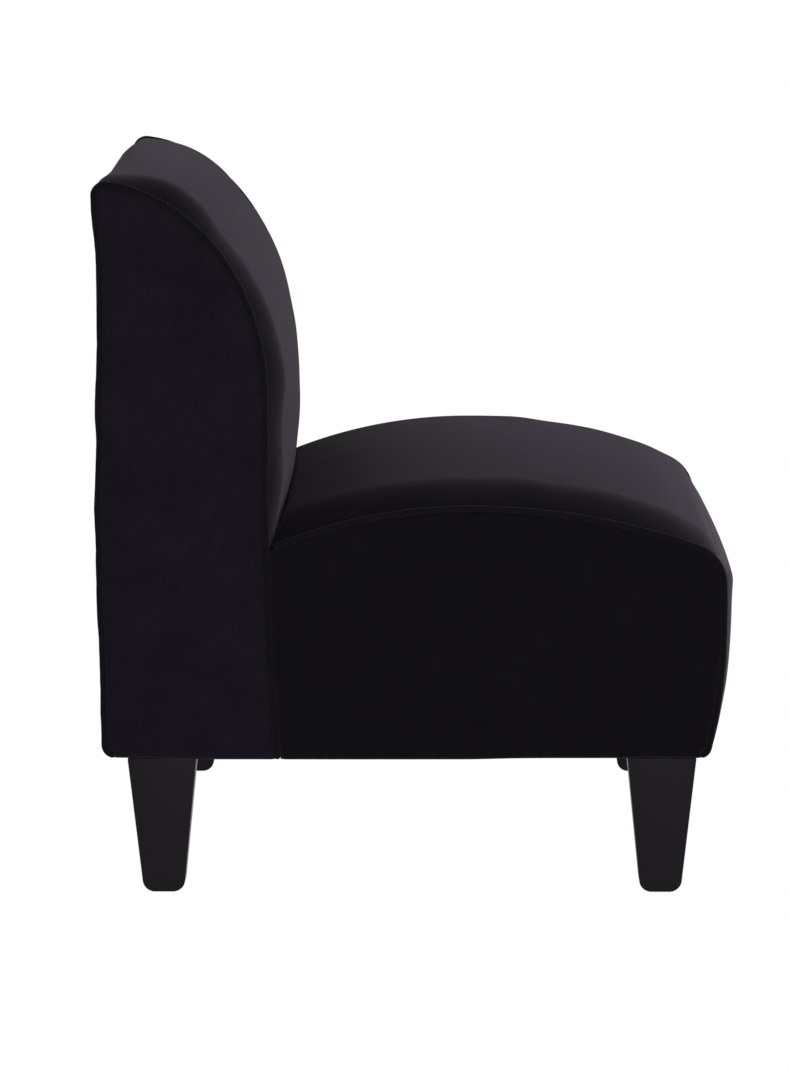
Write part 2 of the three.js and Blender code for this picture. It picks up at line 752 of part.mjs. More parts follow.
// Lag screws hold the seat's rear rail to the back's joint rail
const lagHeight = jointRailFoot + jointRailHeight / 2;
const lagPlaces = [-lagAcross, lagAcross];
const rearRailFoot = seatRailTop - seatRearRailHeight;
const seatRailRear = backFront(rearRailFoot) + moduleGap;
const seatRailFront = seatRailRear + railThickness;
const lagTip = seatRailFront + gap - lagLength;
const lagHoles = lagPlaces.map((place) => (
  levelRod(boltHole, jointRailFront - railThickness - overrun, seatRailFront + overrun, place, lagHeight)));
const jointRail = block(railSpan, [jointRailFront - railThickness, jointRailFront],
  [jointRailFoot, jointRailFoot + jointRailHeight]);
add('back_joint_rail', cut(jointRail, ...lagHoles), hardwood);

lagPlaces.forEach((place, i) => {
  const shank = levelRod(boltDiameter / 2, lagTip, seatRailFront + lagHeadThickness / 2, place, lagHeight);
  const head = levelRod(lagHeadWidth / 2, seatRailFront + gap, seatRailFront + gap + lagHeadThickness,
    place, lagHeight, 6);
  add(`lag_screw_${i + 1}`, geometryOf(solidOf(shank).add(solidOf(head))), steel);
});

// Elastic webs run across the front edges of the back's side frames
const quarterTurn = 90;
const webRows = 4;
webSpanShares.forEach(([from, to], i) => {
  const strip = (lift) => {
    const reach = backDepth - archStart - backFoamFront + lift;
    const rise = backHeight - springHeight - backFoamTop + lift;
    const centre = at(archStart, springHeight);
    return archPoints(centre, reach, rise, from * quarterTurn, to * quarterTurn, webRows);
  };
  const outline = [...strip(gap), ...strip(gap + webThickness).reverse()];
  add(`back_web_${i + 1}`, board(outline, -frameReach, frameReach), webbing);
});

// Back foam: fills the space from the webs out to the covers, over the frame's top
const backFoamInner = [
  at(webRailFront + webLayer, backShelf + gap),
  ...backArch(backFoamFront - webLayer, backFoamTop - webLayer, archRows),
];
const backFoamEnd = backFoamInner[backFoamInner.length - 1];
backFoamInner.push(at(coverInside, backFoamEnd.y));
const backFoamSections = foamStations.map((place) => {
  const outer = insetLine(crownedBack(place), coverInside, -1).slice(foamFootRow, insideBackRows);
  return { across: place, outline: [...outer, ...backFoamInner.slice().reverse()] };
});
add('back_foam', loft(backFoamSections), foam);

// Back covers: one piece up the front and over the top, one down the rear, and a panel each side
const insideBackCover = cover((place) => crownedBack(place).slice(0, insideBackRows), -1);
add('back_inside_cover', cut(insideBackCover, ...lagHoles), velvet);
add('back_outside_cover', cover((place) => crownedBack(place).slice(insideBackRows), -1), velvet);

// A side panel: flat against the frame, gently pillowed outside
function sidePanel(outlineAt, sign) {
  const inner = outlineAt(panelInset, upholsteryFoot);
  const outer = pillowInsetShares.map((share, i) => ({
    across: sign * (sidePanelFace + sidePillow * pillowRiseShares[i]),
    outline: outlineAt(panelInset + pillowEdge * share, upholsteryFoot + pillowEdge * share),
  }));
  return loft([{ across: sign * (sidePanelFace - coverWall), outline: inner }, ...outer]);
}

const pipingSides = 6;

function piping(line, sign) {
  const path = line.map((point) => new THREE.Vector3(sign * pipingAcross, -point.x, point.y));
  return cord(path, pipingRadius, pipingSides, new THREE.Vector3(1, 0, 0));
}

for (const { name, sign } of sides) {
  add(`back_side_cover_${name}`, sidePanel(backOutline, sign), velvet);
  add(`back_piping_${name}`, piping(backLine(0, 0, 0), sign), pipingVelvet);
}

// Seat frame: plywood sides with an arched top edge, notched over the corner blocks
const seatSideOutline = [
  at(seatFrameRear, frameFoot),
  at(frontBlock[0] - gap, frameFoot),
  at(frontBlock[0] - gap, blockTop + gap),
  ...notchTop(frontLegDepth),
  at(seatFrameFront, blockTop + gap),
  ...deckLine(seatFrameFront, seatFrameRear, 0),
];
for (const { name, sign } of sides) {
  const limits = [sign * boardInside, sign * frameReach].sort((a, b) => a - b);
  add(`seat_side_frame_${name}`, board(seatSideOutline, ...limits), timber);
}
const frontRailShape = new THREE.Shape([
  at(-betweenBlocks, frameFoot), at(betweenBlocks, frameFoot), at(betweenBlocks, blockTop + gap),
  at(railReach, blockTop + gap), at(railReach, seatRailTop), at(-railReach, seatRailTop),
  at(-railReach, blockTop + gap), at(-betweenBlocks, blockTop + gap),
]);
const frontRail = new THREE.ExtrudeGeometry(frontRailShape, { depth: railThickness, bevelEnabled: false });
frontRail.rotateX(Math.PI / 2).translate(0, railThickness - seatFrameFront, 0);
add('seat_front_rail', frontRail, hardwood);
const rearRail = block(railSpan, [seatRailRear, seatRailFront], [rearRailFoot, seatRailTop]);
add('seat_rear_rail', cut(rearRail, ...lagHoles), hardwood);

// Sinuous springs: a wire that zigzags from the rear rail to the front rail, clipped at both ends
const wireRear = seatRailRear + springSetBack;
const wireFront = seatFrameFront - springSetBack;
const bendShares = [0.3, 0.7];

function springPath(place) {
  const pitch = (wireFront - wireRear) / springBends;
  const half = springWidth / 2;
  const path = [];
  const point = (side, depth) => {
    const share = (depth - wireRear) / (wireFront - wireRear) * 2 - 1;
    const height = wireRestHeight + springRise * (1 - share ** 2);
    path.push(new THREE.Vector3(place + side, -depth, height));
  };
  for (let i = 0; i <= springBends; i += 1) {
    const run = i % 2 ? -1 : 1;
    const straight = half - pitch / 3;
    point(-run * straight, wireRear + i * pitch);
    point(run * straight, wireRear + i * pitch);
    if (i < springBends) for (const share of bendShares) point(run * half, wireRear + (i + share) * pitch);
  }
  return path;
}

function clip(place, depth, facing) {
  const centre = at(0, wireRestHeight);
  const outerRadius = clipInside + clipThickness;
  const ring = (radius) => archPoints(centre, radius, radius, -90, 150, 8);
  const profile = [
    at(-clipTail, centre.y - outerRadius), ...ring(outerRadius), ...ring(clipInside).reverse(),
    at(-clipTail, centre.y - clipInside),
  ];
  const outline = profile.map((point) => at(depth + facing * point.x, point.y));
  return board(outline, place - clipWidth / 2, place + clipWidth / 2);
}

for (let i = 0; i < springCount; i += 1) {
  const place = (i - (springCount - 1) / 2) * springPitch;
  add(`seat_spring_${i + 1}`, cord(springPath(place), wireRadius, 5, new THREE.Vector3(0, 0, 1)), steel);
  add(`spring_clip_rear_${i + 1}`, clip(place, wireRear, 1), steel);
  add(`spring_clip_front_${i + 1}`, clip(place, wireFront, -1), steel);
}

// Insulator felt on the springs, and the seat foam from there up to the covers and down the front
const insulatorRear = wireRear - wireRadius;
const insulatorFront = wireFront + wireRadius;
const insulatorOutline = [
  ...deckLine(insulatorRear, insulatorFront, 0),
  ...deckLine(insulatorFront, insulatorRear, -insulatorThickness),
];
const insulatorReach = boardInside - insulatorEdge;
add('seat_insulator', board(insulatorOutline, -insulatorReach, insulatorReach), felt);

const seatFoamSections = foamStations.map((place) => {
  const skin = [...seatTopLine(place), ...seatFrontLine(place).slice(1)];
  const outer = insetLine(skin, coverInside, 1).slice(1, -3);
  const foot = outer[outer.length - 1].y;
  const inner = deckLine(seatFrameFront + gap, seatFrameRear, gap);
  return { across: place, outline: [...outer, at(seatFrameFront + gap, foot), ...inner] };
});
add('seat_foam', loft(seatFoamSections), foam);

// Seat covers: the crowned top with its hidden rear flap, the front below the seam, the side panels
add('seat_top_cover', cover(seatTopLine, 1), velvet);
add('seat_front_cover', cover(seatFrontLine, 1), velvet);
for (const { name, sign } of sides) {
  add(`seat_side_cover_${name}`, sidePanel(seatOutline, sign), velvet);
  const start = backFront(apexHeight) + pipingDiameter + moduleGap;
  add(`seat_piping_${name}`, piping(seatLine(0, start), sign), pipingVelvet);
}

// Dust cover: thin cloth stapled under both frames, with a hole at each hanger bolt
const dustCover = block([-frameReach, frameReach], [rearBlockRear, seatFrameFront - dustCoverHem],
  [upholsteryFoot, upholsteryFoot + dustCoverThickness]);
const dustHoles = legRows.flatMap((row) => sides.map(({ sign }) => (
  uprightRod(boltHole, upholsteryFoot - overrun, frameFoot + overrun, sign * legAcross, row.depth))));
add('dust_cover', cut(dustCover, ...dustHoles), cambric);

// The origin is on the floor, midway between the chair's extremes
const extent = new THREE.Box3().setFromObject(chair);
const centre = extent.getCenter(new THREE.Vector3());
chair.position.set(-centre.x, -centre.y, -extent.min.z);

export default chair;
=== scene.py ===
import math

import bmesh
import bpy
import numpy as np
from mathutils import Matrix, Vector
from mathutils.bvhtree import BVHTree


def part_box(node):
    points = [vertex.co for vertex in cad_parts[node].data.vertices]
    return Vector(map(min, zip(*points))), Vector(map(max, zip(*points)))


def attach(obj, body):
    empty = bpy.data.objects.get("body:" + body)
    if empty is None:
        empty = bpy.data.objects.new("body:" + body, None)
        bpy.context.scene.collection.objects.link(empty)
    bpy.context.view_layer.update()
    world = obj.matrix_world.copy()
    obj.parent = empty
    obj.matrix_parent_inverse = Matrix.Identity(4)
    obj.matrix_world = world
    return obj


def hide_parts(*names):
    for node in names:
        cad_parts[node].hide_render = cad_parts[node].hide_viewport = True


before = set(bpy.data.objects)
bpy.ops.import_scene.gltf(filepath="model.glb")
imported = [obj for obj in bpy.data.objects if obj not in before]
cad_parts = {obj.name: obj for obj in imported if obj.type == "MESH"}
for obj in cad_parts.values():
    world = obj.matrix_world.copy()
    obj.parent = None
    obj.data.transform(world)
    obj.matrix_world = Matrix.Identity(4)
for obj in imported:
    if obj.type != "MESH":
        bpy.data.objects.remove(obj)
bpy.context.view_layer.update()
bpy.ops.object.select_all(action="DESELECT")
scene = bpy.context.scene
scene.view_settings.view_transform = "Standard"

# Camera
# The photograph looks square on at the sitter's right side, from a little above the seat, through
# a long lens. Its place was worked out from the near and far legs and the two pipings.
CAMERA_PLACE = Vector((-4.44909, -0.02438, 1.16059))
CAMERA_LENS = 132.37
CAMERA_PITCH, CAMERA_YAW, CAMERA_ROLL = 0.18123, -0.01208, -0.00255


def add_object(name, data):
    """A new object of the scene that holds a camera, lamp or mesh."""
    obj = bpy.data.objects.new(name, data)
    scene.collection.objects.link(obj)
    return obj


look = Vector((
    math.cos(CAMERA_YAW) * math.cos(CAMERA_PITCH),
    -math.sin(CAMERA_YAW) * math.cos(CAMERA_PITCH),
    -math.sin(CAMERA_PITCH),
))
level = Vector((-math.sin(CAMERA_YAW), -math.cos(CAMERA_YAW), 0))
upright = level.cross(look)
right = level * math.cos(CAMERA_ROLL) + upright * math.sin(CAMERA_ROLL)
up = upright * math.cos(CAMERA_ROLL) - level * math.sin(CAMERA_ROLL)
camera = add_object("photo_camera", bpy.data.cameras.new("photo_camera"))
camera.data.lens = CAMERA_LENS
camera.matrix_world = Matrix.LocRotScale(
    CAMERA_PLACE, Matrix((right, up, -look)).transposed(), None)
scene.camera = camera

# Studio
# A white seamless sweep: the camera, gloss and glass see plain white, while the chair is lit by the
# soft world and three large boxes, overhead, in front and at the sitter's right. The floor keeps its
# shadow.
FLOOR_SIZE, FLOOR_WHITE, WHITE = 60, "#f2f1f0", (1, 1, 1, 1)
WORLD_LIGHT = 0.4
SHADOW_SHARE, FLOOR_GLOW = 0.06, 1.055
# Name, place, size and power of each box, all turned to the middle of the chair
SOFT_BOXES = (
    ("overhead_box", (0.2, -0.5, 3.2), (3.0, 3.0), 2),
    ("front_box", (0.8, -3.8, 0.6), (2.4, 2.0), 50),
    ("side_box", (-3.8, -0.5, 1.2), (2.8, 2.2), 40),
)
CHAIR_MIDDLE = Vector((0, 0, 0.4))


def linear(hex_colour):
    """The linear colour of an sRGB hex value."""
    channels = [int(hex_colour[i:i + 2], 16) / 255 for i in (1, 3, 5)]
    return [c / 12.92 if c <= 0.04045 else ((c + 0.055) / 1.055) ** 2.4 for c in channels] + [1]


def add_node(tree, kind, settings=None, links=None, to=None):
    """Adds one shader node, sets its properties, sockets or colour stops, links its inputs to sockets
    or to the first output of nodes, and links its own first output on to a socket."""
    node = tree.nodes.new("ShaderNode" + kind)
    for key, value in (settings or {}).items():
        if key == "stops":
            stops = node.color_ramp.elements
            for stop, (place, colour) in zip((stops[0], stops[1]), (value[0], value[-1])):
                stop.position, stop.color = place, linear(colour)
            for place, colour in value[1:-1]:
                stops.new(place).color = linear(colour)
        elif isinstance(key, int) or key in node.inputs:
            node.inputs[key].default_value = value
        else:
            setattr(node, key, value)
    for key, source in (links or {}).items():
        source = source.outputs[0] if isinstance(source, bpy.types.Node) else source
        tree.links.new(source, node.inputs[key])
    if to:
        tree.links.new(node.outputs[0], to)
    return node


def seen_plainly(tree):
    """The light path's outputs, and a node that is 1 where the camera or gloss looks."""
    path = add_node(tree, "LightPath").outputs
    seen = add_node(tree, "Math", {"operation": "MAXIMUM"},
                    {0: path["Is Camera Ray"], 1: path["Is Glossy Ray"]})
    return path, seen


world = bpy.data.worlds.new("white_studio")
world.use_nodes = True
scene.world = world
tree = world.node_tree
tree.nodes.clear()
path, seen = seen_plainly(tree)
seen = add_node(tree, "Math", {"operation": "MAXIMUM"}, {0: seen, 1: path["Is Transmission Ray"]})
lighting = add_node(tree, "Background", {"Color": WHITE, "Strength": WORLD_LIGHT})
backdrop = add_node(tree, "Background", {"Color": WHITE, "Strength": 1})
mixed = add_node(tree, "MixShader", None, {0: seen, 1: lighting, 2: backdrop})
add_node(tree, "OutputWorld", None, {"Surface": mixed})

# Matt white paper, which glows to plain white for the camera and takes a faint shadow
studio_floor = bpy.data.materials.new("matt_white_paper")
studio_floor.use_nodes = True
tree = studio_floor.node_tree
tree.nodes.clear()
_, seen = seen_plainly(tree)
share = add_node(tree, "Math", {"operation": "MULTIPLY", 1: 1 - SHADOW_SHARE}, {0: seen})
paper = add_node(tree, "BsdfDiffuse", {"Color": linear(FLOOR_WHITE)})
glow = add_node(tree, "Emission", {"Color": WHITE, "Strength": FLOOR_GLOW})
mixed = add_node(tree, "MixShader", None, {0: share, 1: paper, 2: glow})
add_node(tree, "OutputMaterial", None, {"Surface": mixed})

bpy.ops.mesh.primitive_plane_add(size=FLOOR_SIZE, location=(0, 0, 0))
floor = bpy.context.object
floor.name = "studio_floor"
floor.data.materials.append(studio_floor)

for name, place, size, watts in SOFT_BOXES:
    lamp = bpy.data.lights.new(name, "AREA")
    lamp.shape = "RECTANGLE"
    lamp.size, lamp.size_y = size
    lamp.energy = watts
    holder = add_object(name, lamp)
    holder.location = place
    holder.rotation_euler = (CHAIR_MIDDLE - Vector(place)).to_track_quat("-Z", "Y").to_euler()
    holder.visible_camera = False

# Legs
# Four tapered hardwood legs, wide in depth and thin across, their feet rounded over front and back,
# sprayed with a dark espresso lacquer. Each is drilled for the hanger bolt that holds it.
LEG_HEIGHT = 0.152
LEG_TOP, LEG_FOOT = (0.044, 0.075), (0.030, 0.044)
LEG_FOOT_ROUND, LEG_EASE = 0.012, 0.0016
LEG_PLACES = {
    "leg_rear_right": (-0.276, 0.27995), "leg_rear_left": (0.276, 0.27995),
    "leg_front_right": (-0.276, -0.26355), "leg_front_left": (0.276, -0.26355),
}
BOLT_HOLE, BOLT_DEPTH, DRILL_CLEAR = 0.0043, 0.0303, 0.01
TINY = 0.001
ESPRESSO_DARK, ESPRESSO_LIGHT = "#0e0a10", "#140e14"


def new_material(name, finish, on_cloth=False):
    """A new material with plain numbers on its shader's sockets, its tree, those sockets, and the
    coordinates that its patterns read: the object's, or the flat cloth's."""
    material = bpy.data.materials.new(name)
    material.use_nodes = True
    tree = material.node_tree
    sockets = tree.nodes["Principled BSDF"].inputs
    for key, value in finish.items():
        sockets[key].default_value = value
    if on_cloth:
        return material, tree, sockets, add_node(tree, "UVMap", {"uv_map": "cloth"}).outputs[0]
    return material, tree, sockets, add_node(tree, "TexCoord").outputs["Object"]


# Satin lacquer over stained beech: nearly black, with close upright grain that shows in the light
espresso, tree, surface, where = new_material(
    "espresso_lacquer_on_beech", {"IOR": 1.5, "Specular IOR Level": 0.12})
grain_space = add_node(tree, "Mapping", {"Scale": (420, 420, 9)}, {"Vector": where})
grain = add_node(tree, "TexNoise", {"Scale": 1, "Detail": 5, "Roughness": 0.6, "Distortion": 0.4},
                 {"Vector": grain_space})
fleck_space = add_node(tree, "Mapping", {"Scale": (1500, 1500, 160)}, {"Vector": where})
fleck = add_node(tree, "TexNoise", {"Scale": 1, "Detail": 2}, {"Vector": fleck_space})
add_node(tree, "ValToRGB", {"stops": ((0.35, ESPRESSO_DARK), (0.68, ESPRESSO_LIGHT))},
         {"Fac": grain}, surface["Base Color"])
add_node(tree, "MapRange", {"To Min": 0.32, "To Max": 0.42}, {"Value": grain}, surface["Roughness"])
pores = add_node(tree, "Bump", {"Strength": 0.25, "Distance": 0.0002}, {"Height": fleck})
add_node(tree, "Bump", {"Strength": 0.2, "Distance": 0.0002}, {"Height": grain, "Normal": pores},
         surface["Normal"])


def select_in_mesh(obj, kind, wanted):
    """Selects, in edit mode, the edges or faces for which wanted is true."""
    bpy.ops.mesh.select_mode(type=kind)
    mesh = bmesh.from_edit_mesh(obj.data)
    mesh.select_mode = {kind}
    for item in mesh.edges if kind == "EDGE" else mesh.faces:
        item.select_set(bool(wanted(item)))
    mesh.select_flush_mode()
    bmesh.update_edit_mesh(obj.data)


def apply_modifiers(obj):
    """Applies every modifier of one object, in order."""
    bpy.ops.object.select_all(action="DESELECT")
    bpy.context.view_layer.objects.active = obj
    obj.select_set(True)
    for modifier in list(obj.modifiers):
        bpy.ops.object.modifier_apply(modifier=modifier.name)


def stand_for(piece, slot, *nodes):
    """Hides the CAD nodes that a finished piece replaces and puts the piece on the chair's one body.
    The slot is not used.
    """
    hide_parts(*nodes)
    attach(piece, "root")


leg_x, leg_y = LEG_PLACES["leg_rear_right"]
bpy.ops.mesh.primitive_cube_add(size=1, location=(leg_x, leg_y, LEG_HEIGHT / 2))
leg = bpy.context.object
leg.scale = (*LEG_TOP, LEG_HEIGHT)
bpy.ops.object.transform_apply(location=True, rotation=True, scale=True)
bpy.ops.object.mode_set(mode="EDIT")
select_in_mesh(leg, "FACE", lambda face: face.calc_center_median().z < TINY)
bpy.ops.transform.resize(value=(LEG_FOOT[0] / LEG_TOP[0], LEG_FOOT[1] / LEG_TOP[1], 1),
                         center_override=(leg_x, leg_y, 0))
select_in_mesh(leg, "EDGE", lambda edge: all(v.co.z < TINY for v in edge.verts)
               and abs(edge.verts[0].co.y - edge.verts[1].co.y) < TINY)
bpy.ops.mesh.bevel(offset=LEG_FOOT_ROUND, offset_type="OFFSET", segments=9, affect="EDGES")
bpy.ops.object.mode_set(mode="OBJECT")
bpy.ops.mesh.primitive_cylinder_add(
    radius=BOLT_HOLE, depth=BOLT_DEPTH + DRILL_CLEAR, vertices=24,
    location=(leg_x, leg_y, LEG_HEIGHT + DRILL_CLEAR / 2 - BOLT_DEPTH / 2))
drill = bpy.context.object
hole = leg.modifiers.new("bolt_hole", "BOOLEAN")
hole.object = drill
hole.operation = "DIFFERENCE"
ease = leg.modifiers.new("eased_edges", "BEVEL")
ease.width = LEG_EASE
ease.segments = 3
ease.limit_method = "ANGLE"
ease.angle_limit = math.radians(35)
apply_modifiers(leg)
bpy.data.objects.remove(drill)
bpy.ops.object.shade_smooth_by_angle(angle=math.radians(32))
leg.data.materials.append(espresso)
for name, (x, y) in LEG_PLACES.items():
    piece = leg
    if name != "leg_rear_right":
        piece = leg.copy()
        piece.data = leg.data.copy()
        piece.data.transform(Matrix.Translation((x - leg_x, y - leg_y, 0)))
        scene.collection.objects.link(piece)
    piece.name = name + "_lacquered"
    stand_for(piece, "dark_lacquered_wood", name)

# Bolts, nuts and lag screws
# Zinc-plated steel: a hanger bolt and a T-nut in a corner block for each leg, and the lag screws that
# draw the seat's rear rail against the back's joint rail. They keep their CAD shapes.
ZINC_DULL, ZINC_BRIGHT = "#8f9496", "#aeb2b4"

# Bright zinc plate on rolled steel: a cool, slightly cloudy metal
zinc_plate, tree, surface, where = new_material("bright_zinc_plate", {"Metallic": 1})
cloud = add_node(tree, "TexNoise", {"Scale": 260, "Detail": 4}, {"Vector": where})
add_node(tree, "ValToRGB", {"stops": ((0, ZINC_DULL), (1, ZINC_BRIGHT))}, {"Fac": cloud},
         surface["Base Color"])
add_node(tree, "MapRange", {"To Min": 0.25, "To Max": 0.45}, {"Value": cloud}, surface["Roughness"])


def finish_cad(material, *starts):
    """Gives a material to every CAD node whose name starts with one of these words."""
    for name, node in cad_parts.items():
        if name.startswith(starts):
            for material_slot in node.material_slots:
                material_slot.material = material


finish_cad(zinc_plate, "hanger_bolt_", "tee_nut_", "lag_screw_")

# Rails and corner blocks
# Sawn hardwood rails and blocks, glued and stapled between the side frames. Nothing of them shows
# once the chair is covered.
HARDWOOD_DARK, HARDWOOD_LIGHT = "#a87d4f", "#c79d6c"

# Planed poplar: pale brown, with straight grain along the rail and a matt surface
poplar, tree, surface, where = new_material("planed_poplar", {"Roughness": 0.72})
along_rail = add_node(tree, "Mapping", {"Scale": (4, 90, 90)}, {"Vector": where})
figure = add_node(tree, "TexNoise", {"Scale": 1, "Detail": 6, "Distortion": 0.8},
                  {"Vector": along_rail})
fine = add_node(tree, "Mapping", {"Scale": (30, 900, 900)}, {"Vector": where})
fibre = add_node(tree, "TexNoise", {"Scale": 1, "Detail": 3}, {"Vector": fine})
add_node(tree, "ValToRGB", {"stops": ((0.3, HARDWOOD_DARK), (0.7, HARDWOOD_LIGHT))},
         {"Fac": figure}, surface["Base Color"])
add_node(tree, "Bump", {"Strength": 0.4, "Distance": 0.0003}, {"Height": fibre}, surface["Normal"])
finish_cad(poplar, "corner_block_", "back_top_rail", "back_web_rail", "back_rear_rail",
           "back_joint_rail", "seat_front_rail", "seat_rear_rail")

# Side frames
# Birch plywood, 18 mm thick, cut to the shape of the back and of the seat. Its plies show on the cut
# edges and its face veneer on the flats.
VENEER_DARK, VENEER_LIGHT = "#bf9d6b", "#d9bd8c"
PLY_DARK, PLY_LIGHT = "#9c7748", "#d3b380"
PLY_PAIR = 0.0028


def band_scale(pitch):
    """The wave texture's scale for bands that stand this far apart, in metres."""
    return 2 * math.pi / (20 * pitch)


# Birch plywood: light brown face veneer with broad figure, and edges striped by their plies
birch_ply, tree, surface, where = new_material("birch_plywood", {"Roughness": 0.65})
up_face = add_node(tree, "Mapping", {"Scale": (20, 60, 5)}, {"Vector": where})
figure = add_node(tree, "TexNoise", {"Scale": 1, "Detail": 6, "Distortion": 1.2},
                  {"Vector": up_face})
veneer = add_node(tree, "ValToRGB", {"stops": ((0.3, VENEER_DARK), (0.7, VENEER_LIGHT))},
                  {"Fac": figure})
plies = add_node(tree, "TexWave",
                 {"bands_direction": "X", "Scale": band_scale(PLY_PAIR), "Distortion": 0.4,
                  "Detail": 2, "Detail Scale": 3}, {"Vector": where})
edge = add_node(tree, "ValToRGB", {"stops": ((0.35, PLY_DARK), (0.6, PLY_LIGHT))},
                {"Fac": plies.outputs["Fac"]})
facing = add_node(tree, "NewGeometry").outputs["Normal"]
parts = add_node(tree, "SeparateXYZ", None, {0: facing})
flat = add_node(tree, "Math", {"operation": "ABSOLUTE"}, {0: parts})
flat = add_node(tree, "Math", {"operation": "GREATER_THAN", 1: 0.7}, {0: flat})
tone = add_node(tree, "Mix", {"data_type": "RGBA"}, {0: flat, 6: edge, 7: veneer})
tree.links.new(tone.outputs[2], surface["Base Color"])
finish_cad(birch_ply, "back_side_frame_", "seat_side_frame_")

# Back webs
# Three black elastic webs, stretched across the side frames and stapled to their front edges. They
# carry the back cushion.
REAR_PLANE = 344.95
ARCH_START, SPRING_HEIGHT, ARCH_REACH, ARCH_RISE = -7, 549, 188, 229
WEB_SPANS = ((0.05, 0.2), (0.33, 0.47), (0.6, 0.71))
WEB_REACH, WEB_THICKNESS, WEB_CLEAR = 294.7, 2.0, 0.3
WEB_BEHIND, WEB_BELOW = 38, 34
RIB_PITCH, PICK_PITCH = 0.002, 0.0012
WEB_BLACK, WEB_GREY = "#1d1c20", "#38363b"


def in_metres(across, depth, height):
    """Points of the row frame from millimetres across, forward of the rear plane and above the
    floor."""
    across, depth, height = np.broadcast_arrays(across, depth, height)
    return np.stack([across, REAR_PLANE - depth, height], -1) / 1000


def line_lengths(line):
    """Length along a line of points from its start to each point."""
    steps = np.linalg.norm(np.diff(line, axis=0), axis=1)
    return np.concatenate([[0], np.cumsum(steps)])


def cloth_places(across, along):
    """Each point's place on the flat cloth, from places across and along it in metres."""
    return np.stack(np.broadcast_arrays(across[None, :], along[:, None]), -1)


def grid_squares(points, outward):
    """The indices, squares and unit normals of a grid of points, and 1, or -1 where the squares and
    normals had to be turned to face outward."""
    rows, columns = points.shape[:2]
    index = np.arange(rows * columns).reshape(rows, columns)
    squares = np.stack([index[:-1, :-1], index[1:, :-1], index[1:, 1:], index[:-1, 1:]], -1)
    normals = np.cross(np.gradient(points, axis=0), np.gradient(points, axis=1))
    normals = normals / np.maximum(np.linalg.norm(normals, axis=2, keepdims=True), 1e-12)
    side = -1 if (normals @ np.array(outward, float)).mean() < 0 else 1
    return index, squares.reshape(-1, 4)[:, ::side], normals * side, side


def grid_shell(name, outer, inner, cloth_place, material, outward):
    """A closed shell between two grids of points. cloth_place becomes the UV map cloth, and outward
    is a direction that the outer grid faces."""
    index, squares, _, side = grid_squares(outer, outward)
    count = index.size
    rim = np.concatenate([index[0, :], index[1:, -1], index[-1, -2::-1], index[-2:0:-1, 0]])
    after = np.roll(rim, -1)
    walls = np.stack([rim, after, after + count, rim + count], -1)[:, ::side]
    mesh = bpy.data.meshes.new(name)
    mesh.from_pydata(
        np.concatenate([outer.reshape(-1, 3), inner.reshape(-1, 3)]).tolist(), [],
        np.concatenate([squares, squares[:, ::-1] + count, walls]).tolist())
    places = np.tile(cloth_place.reshape(-1, 2), (2, 1))
    corners = np.zeros(len(mesh.loops), int)
    mesh.loops.foreach_get("vertex_index", corners)
    mesh.uv_layers.new(name="cloth").data.foreach_set("uv", places[corners].ravel())
    mesh.polygons.foreach_set("use_smooth", np.ones(len(mesh.polygons), bool))
    mesh.materials.append(material)
    mesh.update()
    return add_object(name, mesh)


# Woven elastic: black yarn over rubber, with fine lengthwise ribs about 2 mm apart
elastic, tree, surface, where = new_material(
    "woven_elastic_webbing", {"Roughness": 0.85}, on_cloth=True)
ribs = add_node(tree, "TexWave", {"bands_direction": "Y", "Scale": band_scale(RIB_PITCH)},
                {"Vector": where})
picks = add_node(tree, "TexWave", {"bands_direction": "X", "Scale": band_scale(PICK_PITCH)},
                 {"Vector": where})
weave = add_node(tree, "Math", {"operation": "MULTIPLY"},
                 {0: ribs.outputs["Fac"], 1: picks.outputs["Fac"]})
add_node(tree, "ValToRGB", {"stops": ((0, WEB_BLACK), (1, WEB_GREY))}, {"Fac": weave},
         surface["Base Color"])
add_node(tree, "Bump", {"Strength": 0.6, "Distance": 0.0004}, {"Height": weave}, surface["Normal"])

web_across = np.linspace(-WEB_REACH, WEB_REACH, 61)
for number, (low, high) in enumerate(WEB_SPANS, 1):
    angle = np.radians(np.linspace(low, high, 9) * 90)[:, None]
    outer, inner = [
        in_metres(web_across[None, :],
                  ARCH_START + (ARCH_REACH - WEB_BEHIND + lift) * np.cos(angle),
                  SPRING_HEIGHT + (ARCH_RISE - WEB_BELOW + lift) * np.sin(angle))
        for lift in (WEB_CLEAR + WEB_THICKNESS, WEB_CLEAR)]
    run = line_lengths(outer[:, 0])[-1]
    places = cloth_places(web_across / 1000, np.linspace(0, run, 9))
    web = grid_shell(f"back_web_{number}_woven", outer, inner, places, elastic, (0, -1, 0.5))
    stand_for(web, "elastic_webbing", f"back_web_{number}")

# Springs and clips
# Four sinuous springs of oil-tempered wire, hooked into a clip on the seat's front and rear rails.
# They keep their CAD shapes.
WIRE_DARK, WIRE_LIGHT = "#3b3c3f", "#6c6d70"

# Oil-tempered spring wire: blue-grey metal, darker where the oil has dried
spring_wire, tree, surface, where = new_material(
    "oil_tempered_wire", {"Metallic": 1, "Roughness": 0.42})
stain = add_node(tree, "TexNoise", {"Scale": 70, "Detail": 4}, {"Vector": where})
add_node(tree, "ValToRGB", {"stops": ((0, WIRE_DARK), (1, WIRE_LIGHT))}, {"Fac": stain},
         surface["Base Color"])
finish_cad(spring_wire, "seat_spring_", "spring_clip_")

# Insulator felt
# One sheet of grey needled felt laid over the springs, under the seat foam. It keeps the wires out of
# the foam.
FELT_THICKNESS, DECK_RISE = 3.0, 35.0
FELT_DARK, FELT_LIGHT = "#55514d", "#7b7671"

